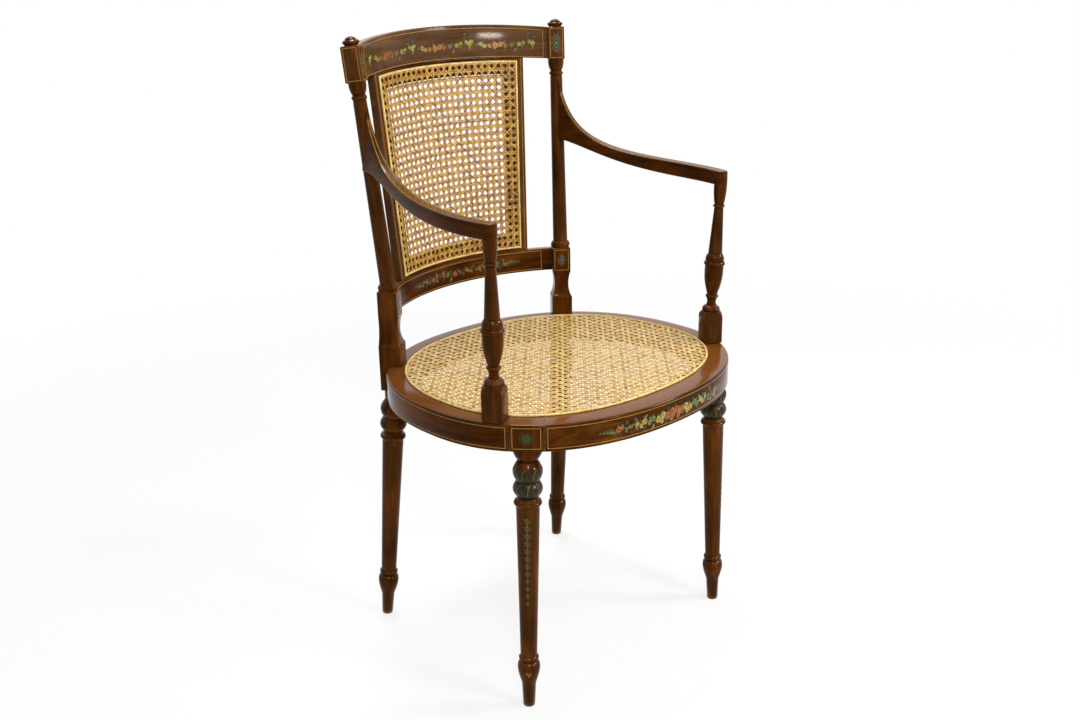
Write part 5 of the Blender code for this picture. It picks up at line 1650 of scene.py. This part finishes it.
def armOrnament(label, side):
    # two lines along the top of the arm with a trail of leaves between them
    shape, size = newShape(), armPaint
    total = armRoutes[side][1][-1]

    def surface(u, v, lift):
        # u runs along the arm, v across it
        place, ahead, width, crown, foot, top = armStation(side, u)
        near = size["slope"]
        rise = (armTopAt(u + near) - armTopAt(u - near)) / (2 * near)
        square = (upward - ahead * rise).normalized()
        across = Vector((-ahead.y, ahead.x, 0))
        return place + across * v + upward * top + square * lift

    def lineAt(run):
        narrow = armStation(side, run)[3] / 2
        return narrow - armBrow(narrow) - size["lineInset"]

    brush = (shape, surface)
    start, end = size["start"], total - size["end"]
    runs = [start + (end - start) * share ** size["linePower"]
            for share in spread(0.0, 1.0, size["lineSteps"])]
    for edge in (-1, 1):
        spots = [(run, edge * lineAt(run)) for run in runs]
        addLine(brush, spots, stringing["width"] * stringing["arm"])
    first, last = start + size["bare"], end - size["leafEnd"]
    count = round((last - first) / size["leafStep"])
    for k, run in enumerate(spread(first, last, count)):
        for bend, colour in armLeaves:
            addLeaf(brush, run, 0.0, bend * (-1) ** k, size["leaf"], colour, 1, size["leafWide"])
    paintPiece("armOrnament" + label.title(), shape)


crestGarland()
lowerGarland()
seatRailPaint()
for label, side in handed.items():
    squarePaint(label, side)
    legOrnament(label, side)
    armOrnament(label, side)
print("ornament painted")


# floor, light and camera

studio = dict(floorReach=6.0, floorSides=64, floor=(0.90, 0.90, 0.895), floorSpeck=(0.93, 0.93, 0.925),
              fadeFrom=0.9, fadeTo=2.2, ambient=0.46, whitening=0.72)


def seenStraight(tree):
    # one for what the camera sees, also in gloss and through glass
    path = addNode(tree, "LightPath")
    seen = path.outputs["Is Camera Ray"]
    for kind in ("Is Glossy Ray", "Is Transmission Ray"):
        seen = maths(tree, "MAXIMUM", seen, path.outputs[kind])
    return seen


def floorMaterial():
    made, tree, shader = newMaterial("pale floor")
    place = addNode(tree, "NewGeometry").outputs["Position"]
    specks = noise(tree, place, 40, 3)
    tones = ramp(tree, specks, [(0.3, studio["floor"]), (0.7, studio["floorSpeck"])])
    setShader(tree, shader, Base_Color=tones, Roughness=0.7, Specular_IOR_Level=0.2)
    reach = addNode(tree, "VectorMath", {0: place}, operation="LENGTH").outputs["Value"]
    ends = {"Value": reach, "From Min": studio["fadeFrom"], "From Max": studio["fadeTo"]}
    fade = addNode(tree, "MapRange", ends, interpolation_type="SMOOTHSTEP").outputs["Result"]
    seen = ranged(tree, seenStraight(tree), 0.0, 1.0, 0.0, studio["whitening"])
    white = addNode(tree, "Emission", {"Color": (1, 1, 1, 1), "Strength": 1.0}).outputs["Emission"]
    pale = addNode(tree, "MixShader", {0: seen, 1: shader.outputs["BSDF"], 2: white}).outputs["Shader"]
    clear = addNode(tree, "BsdfTransparent").outputs["BSDF"]
    both = addNode(tree, "MixShader", {0: fade, 1: pale, 2: clear})
    tree.links.new(both.outputs["Shader"], tree.nodes["Material Output"].inputs["Surface"])
    return made


def makeFloor():
    reach, sides = studio["floorReach"], studio["floorSides"]
    turns = [2 * pi * k / sides for k in range(sides)]
    floor = plainObject("floor", [(reach * cos(a), reach * sin(a), 0.0) for a in turns], [list(range(sides))])
    floor.data.materials.append(floorMaterial())


def makeWorld():
    world = bpy.data.worlds.new("studio")
    bpy.context.scene.world = world
    world.use_nodes = True
    tree = world.node_tree
    sky = tree.nodes["Background"]
    sky.inputs["Color"].default_value = (1, 1, 1, 1)
    strength = ranged(tree, seenStraight(tree), 0.0, 1.0, studio["ambient"], 1.0)
    tree.links.new(strength, sky.inputs["Strength"])


lamps = dict(key=dict(place=(-1.5, -1.9, 2.2), size=(0.42, 0.42), power=25),
             front=dict(place=(0.36, -1.98, 1.22), size=(0.46, 0.15), power=18),
             fill=dict(place=(1.55, -1.55, 1.65), size=(0.5, 0.4), power=27),
             top=dict(place=(0.2, 0.5, 2.6), size=(0.6, 0.6), power=27))
aim = Vector((0, 0, 0.5))


def makeLamps():
    for name, lamp in lamps.items():
        data = bpy.data.lights.new(name, "AREA")
        data.shape = "RECTANGLE"
        data.size, data.size_y = lamp["size"]
        data.energy = lamp["power"]
        item = bpy.data.objects.new(name, data)
        item.location = lamp["place"]
        item.rotation_mode = "QUATERNION"
        item.rotation_quaternion = (aim - item.location).to_track_quat("-Z", "Y")
        bpy.context.scene.collection.objects.link(item)


view = dict(place=(-1.22686, -1.26376, 1.03855), azimuth=radians(43.76), elevation=radians(19.16),
            roll=radians(-1.09), lens=41.153, sensor=36.0)


def makeCamera():
    azimuth, elevation, roll = view["azimuth"], view["elevation"], view["roll"]
    level = cos(elevation)
    ahead = Vector((sin(azimuth) * level, cos(azimuth) * level, -sin(elevation)))
    right = ahead.cross(upward).normalized()
    top = right.cross(ahead)
    right, top = right * cos(roll) + top * sin(roll), top * cos(roll) - right * sin(roll)
    data = bpy.data.cameras.new("camera")
    data.sensor_fit, data.sensor_width, data.lens = "HORIZONTAL", view["sensor"], view["lens"]
    camera = bpy.data.objects.new("camera", data)
    turn = Matrix((right, top, -ahead)).transposed().to_4x4()
    camera.matrix_world = Matrix.Translation(view["place"]) @ turn
    bpy.context.scene.collection.objects.link(camera)
    bpy.context.scene.camera = camera


makeFloor()
makeWorld()
makeLamps()
makeCamera()
bpy.context.scene.view_settings.view_transform = "Standard"
print("studio set")
